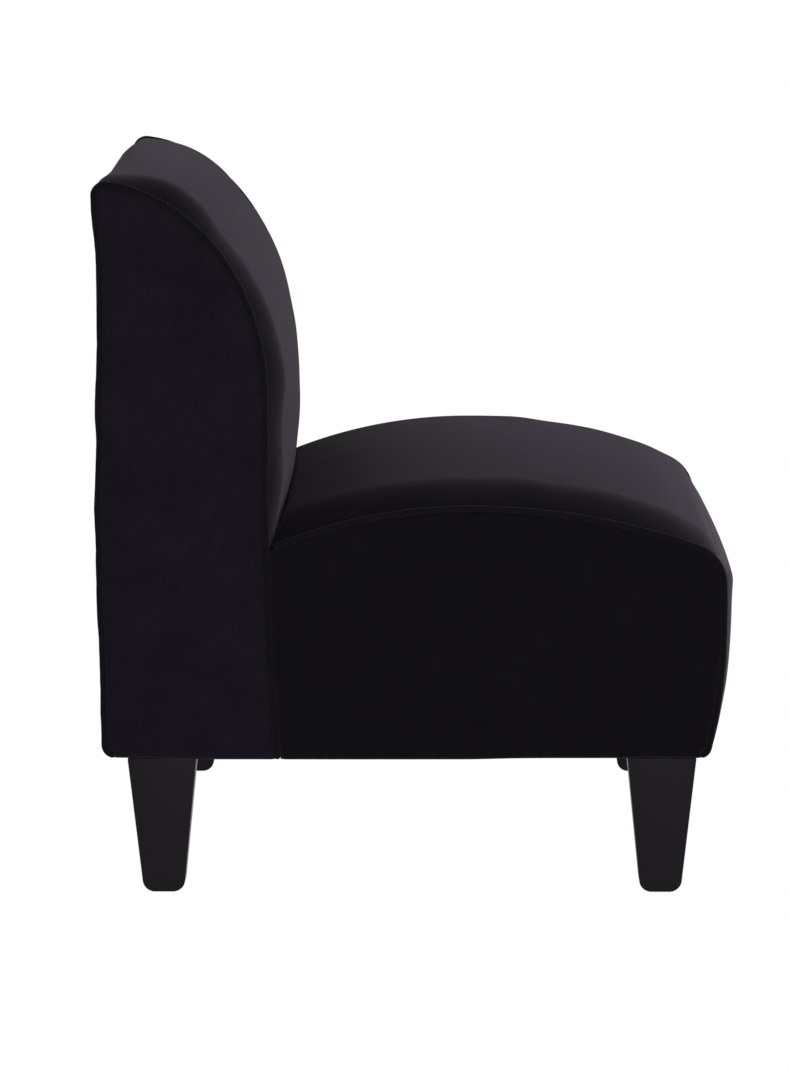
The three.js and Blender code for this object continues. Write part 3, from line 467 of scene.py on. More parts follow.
# Needled felt: matt grey, with mixed fibres of several greys
needled_felt, tree, surface, where = new_material("needled_felt", {"Roughness": 1}, on_cloth=True)
fibres = add_node(tree, "TexNoise", {"Scale": 600, "Detail": 6, "Roughness": 0.8, "Distortion": 2},
                  {"Vector": where})
add_node(tree, "ValToRGB", {"stops": ((0.3, FELT_DARK), (0.7, FELT_LIGHT))}, {"Fac": fibres},
         surface["Base Color"])
add_node(tree, "Bump", {"Strength": 0.6, "Distance": 0.0006}, {"Height": fibres}, surface["Normal"])

felt_low, felt_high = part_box("seat_insulator")
felt_reach = felt_high.x * 1000
frame_low, frame_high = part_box("seat_side_frame_right")
deck_rear, deck_front = REAR_PLANE - frame_high.y * 1000, REAR_PLANE - frame_low.y * 1000
depth = np.linspace(REAR_PLANE - felt_high.y * 1000, REAR_PLANE - felt_low.y * 1000, 49)
share = (depth - (deck_rear + deck_front) / 2) / ((deck_front - deck_rear) / 2)
top = (felt_high.z * 1000 - DECK_RISE * share ** 2)[:, None]
felt_across = np.linspace(-felt_reach, felt_reach, 41)
upper = in_metres(felt_across[None, :], depth[:, None], top)
lower = in_metres(felt_across[None, :], depth[:, None], top - FELT_THICKNESS)
felt = grid_shell("seat_insulator_felt", upper, lower,
                  cloth_places(felt_across / 1000, (depth - depth[0]) / 1000), needled_felt,
                  (0, 0, 1))
stand_for(felt, "felt", "seat_insulator")

# Inside back panel
# One length of black velvet over wadding and foam, from under the seat up the front and over the
# top, where a plain seam joins it to the outside back. It is sewn to the piping down both sides.
COVER_REACH, COVER_WALL, TUCKED_REACH = 293.7, 4.0, 295.3
PIPING_FOOT, BACK_CORNER = 155.8, 13.0
WAIST_HEIGHT, WAIST_DEPTH = 400.0, 180.0
FOOT_FLARE, FLARE_DROP, FRONT_LEAN = 11.0, 248, 1 / 149
CROWN_START, CROWN_FULL, BACK_CROWN = 330.0, 470.0, 23.0
HOLLOW, HOLLOW_HEIGHT, HOLLOW_SPREAD = 1.5, 515.0, 50.0
BACK_ARCH_CROWN = (0.957, 0.776, 0.69, 0.563, 0.47, 0.758, 0.767, 0.429, 0.256)
BACK_ROLL, BACK_LEAN, ROLL_SHARE, ROLL_FULLNESS = 40.0, 0.4, 0.8, 2.0
WAIST_LEAN, LEAN_START, LEAN_FULL = 0.0, 500.0, 590.0
TOP_EDGE = (0, -5.2, -7.6, -7.8, -5.4, -2.2, 0.4, 0.6, 0.3, -1.3, 0)
TOP_EDGE_REACH = 26.0
FRONT_STEPS, ARCH_STEPS, CORNER_STEPS = 90, 90, 12
SEAM_DIP, BACK_SEAM_WIDTH = 2.4, 1.2
SEAM_TUCK, SEAM_ROUND = 3.1, 1.7
GATHER_HEIGHT, GATHER_PITCH, GATHER_REACH, GATHER_EDGE = 0.35, 21.0, 9, 1.5
SETTLE_FRAMES, LUMPS_DOWN, LUMP_WIDTH, LEAST_FILL = 20, 2.3, 260, 0.05
VELVET_SHADE, VELVET_BLACK, VELVET_NAP = "#0c0b10", "#0e0d12", "#121117"
VELVET_SHEEN = "#a695a8"
# Sheen colours up the inside back, painted brighter low down and dimmer towards the top, in place of
# its light and shade
BACK_PAINTED_SHEEN = ((0.45, "#bba8bd"), (0.62, "#b19fb3"), (0.70, "#a997ab"), (0.78, "#9c8c9e"))

# Black velvet: a dense cut pile of cotton. Seen square on it swallows the light, and at a glance
# along the pile it shows a soft plum-grey sheen. Patches about 70 mm wide and brush strokes of 7 by
# 22 mm lie across it. Its tufts stand 0.5 mm apart, and are drawn at 1.3 mm so that they show.
velvet, tree, surface, where = new_material(
    "black_cut_pile_velvet",
    {"Roughness": 0.95, "IOR": 1.5, "Specular IOR Level": 0.06, "Sheen Weight": 0.24,
     "Sheen Roughness": 0.5, "Sheen Tint": linear(VELVET_SHEEN)}, on_cloth=True)
patches = add_node(tree, "TexNoise",
                   {"Scale": 14, "Detail": 5, "Roughness": 0.7, "Distortion": 0.3},
                   {"Vector": where})
strokes_space = add_node(tree, "Mapping", {"Scale": (150, 45, 1), "Rotation": (0, 0, 0.1)},
                         {"Vector": where})
strokes = add_node(tree, "TexNoise", {"Scale": 1, "Detail": 3, "Distortion": 0.9},
                   {"Vector": strokes_space})
pile = add_node(tree, "TexNoise", {"Scale": 760, "Detail": 2}, {"Vector": where})
nap = add_node(tree, "Mix", {"data_type": "FLOAT", 0: 0.35}, {2: patches, 3: strokes})
add_node(tree, "ValToRGB",
         {"name": "nap_tone",
          "stops": ((0.32, VELVET_SHADE), (0.5, VELVET_BLACK), (0.7, VELVET_NAP))},
         {"Fac": nap}, surface["Base Color"])
soft = add_node(tree, "Bump", {"Strength": 0.35, "Distance": 0.0012}, {"Height": nap})
add_node(tree, "Bump", {"Strength": 0.3, "Distance": 0.0004}, {"Height": pile, "Normal": soft},
         surface["Normal"])


def painted_sheen_copy(name, axis, steps):
    """A copy of the velvet with painted sheen: its sheen colour is painted lighter or darker along an
    axis in place of light and shade, in steps of places in metres and sheen colours."""
    brushed = velvet.copy()
    brushed.name = name
    tree = brushed.node_tree
    axes = add_node(tree, "SeparateXYZ", None, {0: add_node(tree, "TexCoord").outputs["Object"]})
    first, last = steps[0][0], steps[-1][0]
    share = add_node(tree, "MapRange", {"From Min": first, "From Max": last},
                     {"Value": axes.outputs[axis]})
    stops = [((at - first) / (last - first), colour) for at, colour in steps]
    add_node(tree, "ValToRGB", {"stops": stops}, {"Fac": share},
             tree.nodes["Principled BSDF"].inputs["Sheen Tint"])
    return brushed


# The inside back's velvet, its sheen painted lighter low down and dimmer over the top
back_velvet = painted_sheen_copy("black_velvet_painted_sheen_back", "Z", BACK_PAINTED_SHEEN)


def from_table(table, share):
    """A smooth value at a share of the way along a table of even steps."""
    values = np.array(table, float)
    place = np.clip(share, 0, 1) * (len(values) - 1)
    i = np.minimum(np.floor(place).astype(int), len(values) - 2)
    t = place - i
    before, after = values[np.maximum(i - 1, 0)], values[np.minimum(i + 2, len(values) - 1)]
    a, b = values[i], values[i + 1]
    return 0.5 * (2 * a + (b - before) * t + (2 * before - 5 * a + 4 * b - after) * t ** 2
                  + (3 * a - before - 3 * b + after) * t ** 3)


def ease_in(value, start, full):
    """0 up to start and 1 from full on, with a soft rise between them."""
    share = np.clip((value - start) / (full - start), 0, 1)
    return share ** 2 * (3 - 2 * share)


def across_crown(across, roll, lean):
    """The stuffing's crown across the chair: 0 at the piping, up a rolled edge as wide as roll to a
    soft shoulder, and from there in a shallow dome to 1 at the middle. lean is how much fuller the
    sitter's right side is than the middle."""
    inside = np.clip(COVER_REACH - np.abs(across), 0, COVER_REACH)
    edge = 1 - (1 - np.clip(inside / roll, 0, 1)) ** ROLL_FULLNESS
    dome = 1 - (1 - np.clip((inside - roll) / (COVER_REACH - roll), 0, 1)) ** 2
    return (ROLL_SHARE * edge + (1 - ROLL_SHARE) * dome) * (1 - lean * across / COVER_REACH)


def back_front(height):
    """Depth of the back's front outline at a height."""
    flare = np.maximum(0, (WAIST_HEIGHT - height) / FLARE_DROP)
    return WAIST_DEPTH + FOOT_FLARE * flare ** 2 + np.maximum(0, (height - WAIST_HEIGHT) * FRONT_LEAN)


def back_crown(depth, height):
    """How far the stuffing stands out of the back's outline at one of its points."""
    near = np.clip((height - CROWN_FULL) / (SPRING_HEIGHT - CROWN_FULL), 0, 1)
    turn = np.arctan2((height - SPRING_HEIGHT) / ARCH_RISE, (depth - ARCH_START) / ARCH_REACH)
    on_arch = from_table(BACK_ARCH_CROWN, turn / (np.pi / 2))
    in_front = depth > WAIST_DEPTH / 2
    hollow = HOLLOW * np.exp(-((height - HOLLOW_HEIGHT) / HOLLOW_SPREAD) ** 2) * in_front
    return (BACK_CROWN * ease_in(height, CROWN_START, CROWN_FULL) * (1 - near + near * on_arch)
            - hollow)


def along_line(at, lengths, values):
    """Pairs of values of a line's points, at lengths along it."""
    return np.stack([np.interp(at, lengths, values[:, k]) for k in range(2)], -1)


def on_line(line, shares):
    """Points at shares of a line's length."""
    lengths = line_lengths(line)
    return along_line(shares * lengths[-1], lengths, line)


def line_normals(line):
    """Unit normals on the left of a line of points in its direction of travel."""
    along = np.gradient(line, axis=0)
    along /= np.linalg.norm(along, axis=1, keepdims=True)
    return np.stack([-along[:, 1], along[:, 0]], -1)


def arc(middle, reach, rise, angles):
    """Points on an ellipse round a middle, at angles from straight forward."""
    return np.array(middle) + np.stack([reach * np.cos(angles), rise * np.sin(angles)], -1)


def back_arch_line():
    """The back's outline up the front, over the arch and round the rear corner, in depth and
    height."""
    heights = np.linspace(PIPING_FOOT, SPRING_HEIGHT, FRONT_STEPS)
    front = np.stack([back_front(heights), heights], -1)
    end = math.acos((BACK_CORNER - ARCH_START) / ARCH_REACH)
    arch = arc((ARCH_START, SPRING_HEIGHT), ARCH_REACH, ARCH_RISE,
               np.linspace(0, end, ARCH_STEPS)[1:])
    corner = arc((BACK_CORNER, arch[-1, 1] - BACK_CORNER), BACK_CORNER, BACK_CORNER,
                 np.radians(np.linspace(90, 180, CORNER_STEPS)[1:]))
    return np.concatenate([front, arch, corner])


def top_sag(distance, across):
    """How far the uneven top edge stands up and to the rear, at a distance from its seam."""
    stand = from_table(TOP_EDGE, (across + TUCKED_REACH) / (2 * TUCKED_REACH))
    return stand[None, :] * np.exp(-(np.abs(distance) / TOP_EDGE_REACH) ** 2)[:, None]


def lifted(across, base, out, rise, edge):
    """The surface that a line of points makes across the chair, lifted by rise and with the uneven
    top edge."""
    return in_metres(across[None, :], base[:, :1] + out[:, :1] * rise - np.maximum(edge, 0),
                     base[:, 1:] + out[:, 1:] * rise + edge)


def inside_back(shares, across):
    """The crowned surface of the inside back, at shares of its outline and distances across."""
    line = back_arch_line()
    crown = back_crown(line[:, 0], line[:, 1])
    crown[-CORNER_STEPS:] *= np.linspace(1, 0, CORNER_STEPS)
    lengths = line_lengths(line)
    at = shares * lengths[-1]
    base, out = along_line(at, lengths, line), along_line(at, lengths, -line_normals(line))
    lean = WAIST_LEAN + (BACK_LEAN - WAIST_LEAN) * ease_in(base[:, 1:], LEAN_START, LEAN_FULL)
    rise = np.interp(at, lengths, crown)[:, None] * across_crown(across, BACK_ROLL, lean)
    return lifted(across, base, out, rise, top_sag(lengths[-1] - at, across))


def uneven(places, seed):
    """A smooth, fixed unevenness between -1 and 1 along places given in turns."""
    waves = ((1.0, 0.0), (1.73, 2.1), (0.61, 4.4), (2.9, 1.3))
    total = sum(np.sin(2 * np.pi * rate * places + phase * seed + seed) / (1 + k * 0.6)
                for k, (rate, phase) in enumerate(waves))
    return total / 2.1


def settle(surface_at, rows, columns, row_shares, across, outward, cap, seed):
    """Blows a pinned velvet sheet up against its sewn edges with Blender's Cloth, and returns how
    far each point of the fine grid moves, cap at most. surface_at gives the sheet's points for
    shares and distances across."""
    fine = np.zeros((len(row_shares), len(across), 3))
    coarse_rows = np.linspace(row_shares[0], row_shares[-1], rows)
    coarse_across = np.linspace(across[0], across[-1], columns)
    wanted = surface_at(coarse_rows, coarse_across)
    index, squares, normals, _ = grid_squares(wanted, outward)
    mesh = bpy.data.meshes.new("settling_sheet")
    mesh.from_pydata(wanted.reshape(-1, 3).tolist(), [], squares.tolist())
    sheet = add_object("settling_sheet", mesh)
    sewn = sheet.vertex_groups.new(name="sewn")
    edge = np.concatenate([index[0], index[-1], index[:, 0], index[:, -1]])
    sewn.add(sorted({int(i) for i in edge}), 1.0, "REPLACE")
    filled = sheet.vertex_groups.new(name="filled")
    lumps = 0.5 + 0.5 * uneven(coarse_rows[:, None] * LUMPS_DOWN + 0.2 * seed, seed) * uneven(
        coarse_across[None, :] / LUMP_WIDTH, seed + 1)
    for i, share_of_fill in enumerate(lumps.ravel()):
        filled.add([i], float(np.clip(share_of_fill, LEAST_FILL, 1)), "REPLACE")
    cloth = sheet.modifiers.new("velvet_under_stuffing", "CLOTH")
    for setting, value in {
            "vertex_group_mass": "sewn", "vertex_group_pressure": "filled", "quality": 6,
            "mass": 0.4, "air_damping": 4, "tension_stiffness": 60, "compression_stiffness": 40,
            "shear_stiffness": 20, "bending_stiffness": 4, "use_pressure": True,
            "uniform_pressure_force": 4}.items():
        setattr(cloth.settings, setting, value)
    cloth.settings.effector_weights.gravity = 0
    cloth.point_cache.frame_start, cloth.point_cache.frame_end = 1, SETTLE_FRAMES
    for step in range(1, SETTLE_FRAMES + 1):
        scene.frame_set(step)
    apply_modifiers(sheet)
    settled = np.zeros(rows * columns * 3)
    sheet.data.vertices.foreach_get("co", settled)
    bpy.data.objects.remove(sheet)
    scene.frame_set(1)
    move = settled.reshape(rows, columns, 3) - wanted
    outwards = (move * normals).sum(axis=2)
    even = outwards.mean()
    move -= normals * even * np.minimum(1, outwards / max(even, 1e-6))[..., None]
    reach = np.linalg.norm(move, axis=2, keepdims=True)
    move *= cap * np.tanh(reach / cap) / np.maximum(reach, 1e-9)
    for k in range(3):
        along = [np.interp(row_shares, coarse_rows, move[:, c, k]) for c in range(columns)]
        fine[..., k] = [np.interp(across, coarse_across, line) for line in np.stack(along, -1)]
    return fine


def sewn_edges(outer, normals, out, depth, edge_distance, along, strength, seed):
    """Tucks a panel's edge in under the piping, against the direction out, with the small gathers
    that the stitches pull."""
    out = out / np.maximum(np.linalg.norm(out, axis=2, keepdims=True), 1e-9)
    dip = depth * np.exp(-(edge_distance / SEAM_ROUND) ** 2)
    gather = GATHER_HEIGHT * strength * uneven(along / GATHER_PITCH, seed) * np.exp(
        -edge_distance / GATHER_REACH)
    return (outer + normals * (gather * (1 - np.exp(-edge_distance / GATHER_EDGE)) / 1000)[..., None]
            - out * (dip / 1000)[..., None])


def even_stations(reach, count):
    """Distances across, closer together towards both edges."""
    turn = np.sin(np.pi / 2 * np.linspace(-1, 1, count))
    return reach * (0.75 * turn + 0.25 * np.sin(np.pi / 2 * turn))


def stations(*runs):
    """Shares along a panel, from runs of first, last and count."""
    return np.concatenate([np.linspace(*run) for run in runs])


def smooth_velvet(piece):
    """Smooths a velvet piece once."""
    smooth = piece.modifiers.new("smooth_velvet", "SUBSURF")
    smooth.levels = smooth.render_levels = 1
    apply_modifiers(piece)


def finish_panel(piece, node):
    """Smooths a velvet panel, hides the CAD node that it replaces and puts it on the chair's body."""
    smooth_velvet(piece)
    stand_for(piece, "black_velvet", node)


def plain_wall(base, normals):
    """A cover's inner face, which lies on the foam."""
    return base - normals * COVER_WALL / 1000


linings = {"back_foam": [], "seat_foam": []}
panel_across = even_stations(TUCKED_REACH, 57)


def velvet_panel(name, surface_at, shares, outward, sheet, cap, seed, gathers, seam_at_end,
                 seam_width, material, cloth_start, foam, length=None, strength=1.0,
                 tuck=SEAM_TUCK, wall=plain_wall):
    """A crowned panel between the pipings: its surface is blown up, tucked in under the pipings and
    drawn into the plain seam at one end. sheet is the grid that Cloth moves, and gathers the phase
    and seed of the stitches. The length is measured on the surface where it isn't given. The inner
    face is kept as the lining that presses on the foam. Lengths are in millimetres, but cap and
    cloth_start in metres."""
    across = panel_across
    base = surface_at(shares, across)
    _, _, normals, _ = grid_squares(base, outward)
    moved = settle(surface_at, *sheet, shares, across, outward, cap, seed)
    at = shares * length if length else line_lengths(base[:, 0]) * 1000
    edge_distance = (TUCKED_REACH - np.abs(across))[None, :] + 0 * shares[:, None]
    along = at[:, None] + gathers[0] * np.sign(across)[None, :]
    outer = sewn_edges(base + moved, normals, normals * (0, 1, 1), tuck, edge_distance, along,
                       strength, gathers[1])
    seam_distance = at[-1] - at if seam_at_end else at
    outer -= normals * (SEAM_DIP * np.exp(-seam_distance / seam_width) / 1000)[:, None, None]
    inner = wall(base, normals)
    panel = grid_shell(name + "_velvet", outer, inner,
                       cloth_places(across / 1000 + cloth_start, at / 1000), material, outward)
    finish_panel(panel, name + "_cover")
    _, squares, _, _ = grid_squares(inner, outward)
    linings[foam].append(BVHTree.FromPolygons(inner.reshape(-1, 3).tolist(), squares.tolist()))


shares = stations((0, 0.955, 92), (0.962, 1, 10))
velvet_panel("back_inside", inside_back, shares, outward=(0, -1, 0.3), sheet=(72, 50), cap=0.003,
             seed=1, gathers=(40, 2), seam_at_end=True, seam_width=BACK_SEAM_WIDTH,
             material=back_velvet, cloth_start=0, foam="back_foam",
             length=line_lengths(back_arch_line())[-1])

# Outside back panel
# A plain piece of velvet over thin wadding, drawn down the rear from the seam at the top edge to the
# foot and stapled under the rail. It lies a little hollow above the waist, and the piping with it.
OUTSIDE_CROWN, OUTSIDE_WALL, OUTSIDE_TUCK, OUTSIDE_EASE = 2.5, 2.2, 1.2, 0.04
WAVE_SHARE, WAVE_SPREAD = 0.35, 8
FOOT_ROUND = 10.0
SEAM_GROOVE, SEAM_ALLOWANCE, ALLOWANCE_GAP = 0.4, 3.0, 0.4
REAR_WAVE_HEIGHTS = (155, 176, 198, 262, 284, 306, 327, 392, 413, 435, 457, 478, 500, 521, 543, 564,
                     586, 608, 630, 651, 694, 715, 734, 777)
REAR_WAVE = (2.5, 3, 2.4, 2.4, 1.6, 0.5, 0, 0, -0.8, -0.8, 0.5, 1.6, 2.6, 1.6, 1.6, 2.6,
             4.2, 4.8, 4.8, 5.3, 5.3, 4.2, 1.5, 0)


def rear_wave(height):
    """How far the rear edge is drawn forward at a height."""
    spread = np.linspace(-14, 14, 9)
    weights = np.exp(-(spread / WAVE_SPREAD) ** 2)
    values = [np.interp(height + s, REAR_WAVE_HEIGHTS, REAR_WAVE) * w
              for s, w in zip(spread, weights)]
    return sum(values) / weights.sum()


def rear_line(share=1.0):
    """The back's outline down the rear and round its foot, in depth and height, with a share of the
    rear edge's waves."""
    top = back_arch_line()[-1, 1] - SEAM_GROOVE
    heights = np.linspace(top, PIPING_FOOT + FOOT_ROUND, 90)
    rear = np.stack([share * rear_wave(heights), heights], -1)
    foot = arc((FOOT_ROUND + rear[-1, 0], PIPING_FOOT + FOOT_ROUND), FOOT_ROUND, FOOT_ROUND,
               np.radians(np.linspace(180, 270, 10)[1:]))
    return np.concatenate([rear, foot])


def outside_back(shares, across):
    """The outside back's surface, at shares of its outline and distances across."""
    line = rear_line(WAVE_SHARE)
    lengths = line_lengths(line)
    at = shares * lengths[-1]
    base, out = along_line(at, lengths, line), along_line(at, lengths, -line_normals(line))
    crown = OUTSIDE_CROWN * np.clip(np.minimum(shares, 1 - shares) / OUTSIDE_EASE, 0, 1)
    rise = crown[:, None] * across_crown(across, BACK_ROLL, BACK_LEAN)[None, :]
    return lifted(across, base, out, rise, top_sag(at, across))


def seamed_wall(base, normals, wall=COVER_WALL):
    """A panel's inner face, whose first edge reaches on behind the panel that it is seamed to."""
    inner = base - normals * wall / 1000
    onward = base[0] - base[1]
    onward /= np.linalg.norm(onward, axis=1, keepdims=True)
    inner[0] = (base[0] + onward * SEAM_ALLOWANCE / 1000
                - normals[0] * (COVER_WALL + ALLOWANCE_GAP) / 1000)
    return inner


shares = stations((0, 0.012, 5), (0.025, 0.965, 62), (0.972, 1, 8))
velvet_panel("back_outside", outside_back, shares, outward=(0, 1, 0), sheet=(50, 48), cap=0.002,
             seed=3, gathers=(55, 5), seam_at_end=False, seam_width=BACK_SEAM_WIDTH,
             material=velvet, cloth_start=2, foam="back_foam",
             length=line_lengths(rear_line())[-1], strength=0.8, tuck=OUTSIDE_TUCK,
             wall=lambda base, normals: seamed_wall(base, normals, OUTSIDE_WALL))

# Back side panels
# Flat velvet over thin wadding on the plywood side frames, sewn to the piping all round and stapled
# under the frame. Both are alike, mirrored.
PANEL_INSET, PANEL_TUCK, PANEL_GATHER, PANEL_FILL = 2.2, 4.6, 0.7, 0.8
UPHOLSTERY_FOOT, FOOT_ROOM, FOOT_INSET = 152.3, 4, 0.6
PANEL_FACE, PANEL_WALL, PILLOW, PILLOW_EDGE = 299.0, 5.0, 2.5, 30.0
TOP_START = FRONT_STEPS + 52
HEM_HEIGHT, HEM_ROUND, HEM_FULLNESS = 5, 0.005, 0.97
# Lighter velvet colours for the back's side panels, which paint in the extra light that falls on them
LIGHTER_PAINTED_TONES = ("#141219", "#18161d", "#1c1a21")
SAG_DEPTHS = (0, 60, 115, 260, 409, 430, 470, 660)
SAG, SAG_FADE = (0, 0.6, 1.9, 2.0, 1.9, 1.0, 0.5, 0.3), 45


def edge_patch(bottom, top, rear, front, shares_up, shares_along):
    """Points inside four edge lines. Bottom and top run forward, rear and front run up."""
    v, u = shares_up[:, None, None], shares_along[None, :, None]
    low, high = on_line(bottom, shares_along)[None], on_line(top, shares_along)[None]
    back, fore = on_line(rear, shares_up)[:, None], on_line(front, shares_up)[:, None]
    corners = ((1 - u) * (1 - v) * bottom[0] + u * (1 - v) * bottom[-1]
               + (1 - u) * v * top[0] + u * v * top[-1])
    return (1 - v) * low + v * high + (1 - u) * back + u * fore - corners


def distance_to(line, points):
    """Distance of each point to a line of points, and the length along the line there."""
    dense = on_line(line, np.linspace(0, 1, 900))
    lengths = line_lengths(dense)
    flat = points.reshape(-1, 2)
    gaps = np.stack([np.linalg.norm(dense - point, axis=1) for point in flat])
    nearest = gaps.argmin(axis=1)
    shape = points.shape[:2]
    return gaps.min(axis=1).reshape(shape), lengths[nearest].reshape(shape)


def edge_shares(count):
    """Shares from 0 to 1, closer together at both ends."""
    once = 0.5 - 0.5 * np.cos(np.pi * np.linspace(0, 1, count))
    return 0.55 * once + 0.45 * (0.5 - 0.5 * np.cos(np.pi * once))


def mirrored(piece, name):
    """A copy of a piece of the sitter's right side for the left."""
    other = piece.copy()
    other.data = piece.data.copy()
    other.name = name
    other.data.transform(Matrix.Scale(-1, 4, (1, 0, 0)))
    other.data.flip_normals()
    scene.collection.objects.link(other)
    return other


def side_panel(name, edges, sewn_line, creases, seed, material):
    """A flat velvet panel on the sitter's right side, inside four edge lines, with its edges drawn
    into the seam along sewn_line and turned under at the foot, and its mirror image."""

    def pillow_at(shares_up, shares_along):
        """Points of the panel with their swell, distance to the seam and length along it."""
        points = edge_patch(*edges, shares_up, shares_along)
        distance, along = distance_to(sewn_line, points)
        distance = np.minimum(distance, points[..., 1] - UPHOLSTERY_FOOT + FOOT_ROOM)
        rise = PILLOW * (1 - (1 - np.clip(distance / PILLOW_EDGE, 0, 1)) ** 3)
        return points, rise, distance, along

    def surface_at(shares_up, shares_along):
        """The swollen surface of the panel."""
        points, rise, _, _ = pillow_at(shares_up, shares_along)
        return in_metres(-(PANEL_FACE + rise), points[..., 0], points[..., 1])

    shares_up, shares_along = edge_shares(54), edge_shares(44)
    points, _, distance, along = pillow_at(shares_up, shares_along)
    depth, height = points[..., 0], points[..., 1]
    base = surface_at(shares_up, shares_along)
    moved = settle(surface_at, 40, 30, shares_up, shares_along, (-1, 0, 0), 0.0015, seed)
    out = np.zeros_like(base) + np.array((-1.0, 0, 0))
    outer = sewn_edges(base + moved, out, out, PANEL_TUCK, distance, along, PANEL_GATHER, seed)
    outer[..., 0] -= creases(points) / 1000
    hem = np.clip(1 - (height - UPHOLSTERY_FOOT) / HEM_HEIGHT, 0, 1)
    outer[..., 0] += (1 - np.sqrt(1 - hem ** 2 * HEM_FULLNESS)) * HEM_ROUND
    sag = np.interp(depth, SAG_DEPTHS, SAG) * np.clip(
        1 - (height - UPHOLSTERY_FOOT) / SAG_FADE, 0, 1) ** 1.5
    outer[..., 2] -= sag / 1000
    inner = in_metres(-(PANEL_FACE - PANEL_WALL), depth, height)
    inner[..., 2] -= sag / 1000
    piece = grid_shell(name + "_right_velvet", outer, inner,
                       points / 1000 + np.array((4.0 + seed, 0)), material, (-1, 0, 0))
    other = mirrored(piece, name + "_left_velvet")
    for loop in other.data.uv_layers["cloth"].data:
        loop.uv.x += 9
    finish_panel(piece, name + "_cover_right")
    finish_panel(other, name + "_cover_left")


def no_creases(points):
    """A panel without creases of its own."""
    return np.zeros(points.shape[:2])


arch_line, rear = back_arch_line(), rear_line()
inside_arch = arch_line + line_normals(arch_line) * PANEL_INSET
inside_rear = rear + line_normals(rear) * PANEL_INSET
corner_middle = len(arch_line) - CORNER_STEPS // 2 + 1
foot_corner = np.array([[inside_rear[-1, 0] - FOOT_INSET, UPHOLSTERY_FOOT]])
rear_edge = np.concatenate([inside_arch[corner_middle:], inside_rear, foot_corner])[::-1]
front_foot = np.array([[back_front(UPHOLSTERY_FOOT) - PANEL_INSET, UPHOLSTERY_FOOT]])
front_edge = np.concatenate([front_foot, inside_arch[:TOP_START + 1]])
upper_edge = inside_arch[TOP_START:corner_middle + 1][::-1]
bottom_edge = np.stack([rear_edge[0], front_edge[0]])
sewn = np.concatenate([front_edge, inside_arch[TOP_START:], inside_rear, foot_corner])

# A lighter copy of the velvet for the back's sides: its colours paint in extra light on them, more
# than on the seat's sides
back_side_velvet = velvet.copy()
back_side_velvet.name = "black_velvet_painted_lighter"
for stop, colour in zip(back_side_velvet.node_tree.nodes["nap_tone"].color_ramp.elements, LIGHTER_PAINTED_TONES):
    stop.color = linear(colour)
side_panel("back_side", (bottom_edge, upper_edge, rear_edge, front_edge), sewn, no_creases, 7,
           back_side_velvet)

# Seat top panel
# One crowned piece of velvet over wadding and foam, from the crease against the back, where its flap
# is drawn through and stapled, over the arch to the plain seam at the front edge.
APEX_DEPTH, APEX_HEIGHT = 399.5, 427.5
REAR_ARCH, FRONT_ARCH = 547.0, 735.0
FRONT_DEPTH, FRONT_CORNER = 674.2, 45.0
FRONT_TURN, FRONT_TUCK, TUCK_DROP = 290.0, 18.0, 138
SEAT_FOOT_ROUND, LEAST_ROUND = 8.0, 0.3
OVER_STEPS, FORE_STEPS, TURN_STEPS, SECTION_STEPS = 60, 70, 24, 1400
SEAT_CROWN, SEAT_ROLL, SEAT_LEAN = 25.0, 58.0, 0.15
SEAT_TOP_CROWN = (1.09, 1.11, 1.15, 1.06, 1.07, 1.06, 0.97, 0.86, 0.6)
SEAT_CORNER_CROWN = (0.6, 0.38, 0.21, 0.26, 0.59)
SEAT_FRONT_CROWN = (0.59, 0.54, 0.52, 0.49, 0.48, 0.47, 0.44, 0.44, 0.42)
SEAM_TURN, SEAM_LOWER, SEAT_SEAM_WIDTH = 0.8, 12.0, 1.3
MODULE_GAP, CREASE_LIMIT, CREASE_ROUND, CREASE_SPREAD = 1.5, 330, 7, 20
FLAP_FOOT, CREASE_SHARE = 345.0, 0.12
# Sheen colours over the seat: painted shade towards the crease against the back, and a painted
# highlight at the front edge
SEAT_PAINTED_SHEEN = ((0.10, "#5f5460"), (0.03, "#86788a"), (-0.06, "#968799"), (-0.24, "#978899"),
            (-0.31, "#b09fb2"), (-0.335, "#d6c4d8"))

# The seat's velvet, its sheen painted dark at the rear by the crease and light at the front
seat_velvet = painted_sheen_copy("black_velvet_painted_sheen_seat", "Y", SEAT_PAINTED_SHEEN)
corner_forward = FRONT_DEPTH - FRONT_CORNER
corner_height = APEX_HEIGHT - FRONT_ARCH + math.sqrt(
    (FRONT_ARCH - FRONT_CORNER) ** 2 - (corner_forward - APEX_DEPTH) ** 2)
corner_lean = math.acos((corner_forward - APEX_DEPTH) / (FRONT_ARCH - FRONT_CORNER))


def seat_line(start, inset=0.0):
    """The seat's outline from a depth over the arch, round the front corner and down to its foot."""
    depths = np.linspace(start, APEX_DEPTH, OVER_STEPS)
    rear = np.stack([depths, APEX_HEIGHT - REAR_ARCH + np.sqrt(
        (REAR_ARCH - inset) ** 2 - (depths - APEX_DEPTH) ** 2)], -1)
    reach = FRONT_ARCH - inset
    fore = arc((APEX_DEPTH, APEX_HEIGHT - FRONT_ARCH), reach, reach,
               np.linspace(np.pi / 2, corner_lean, FORE_STEPS)[1:])
    reach = FRONT_CORNER - inset
    corner = arc((corner_forward, corner_height), reach, reach,
                 np.linspace(corner_lean, 0, TURN_STEPS)[1:])
    reach = max(SEAT_FOOT_ROUND - inset, LEAST_ROUND)
    heights = np.linspace(corner_height, PIPING_FOOT + inset + reach, 60)[1:]
    tuck = FRONT_TUCK * (np.maximum(0, FRONT_TURN - heights) / TUCK_DROP) ** 2
    face = np.stack([FRONT_DEPTH - tuck - inset, heights], -1)
    foot = arc((face[-1, 0] - reach, heights[-1]), reach, reach, np.linspace(0, -np.pi / 2, 8)[1:])
    return np.concatenate([rear, fore, corner, face, foot])


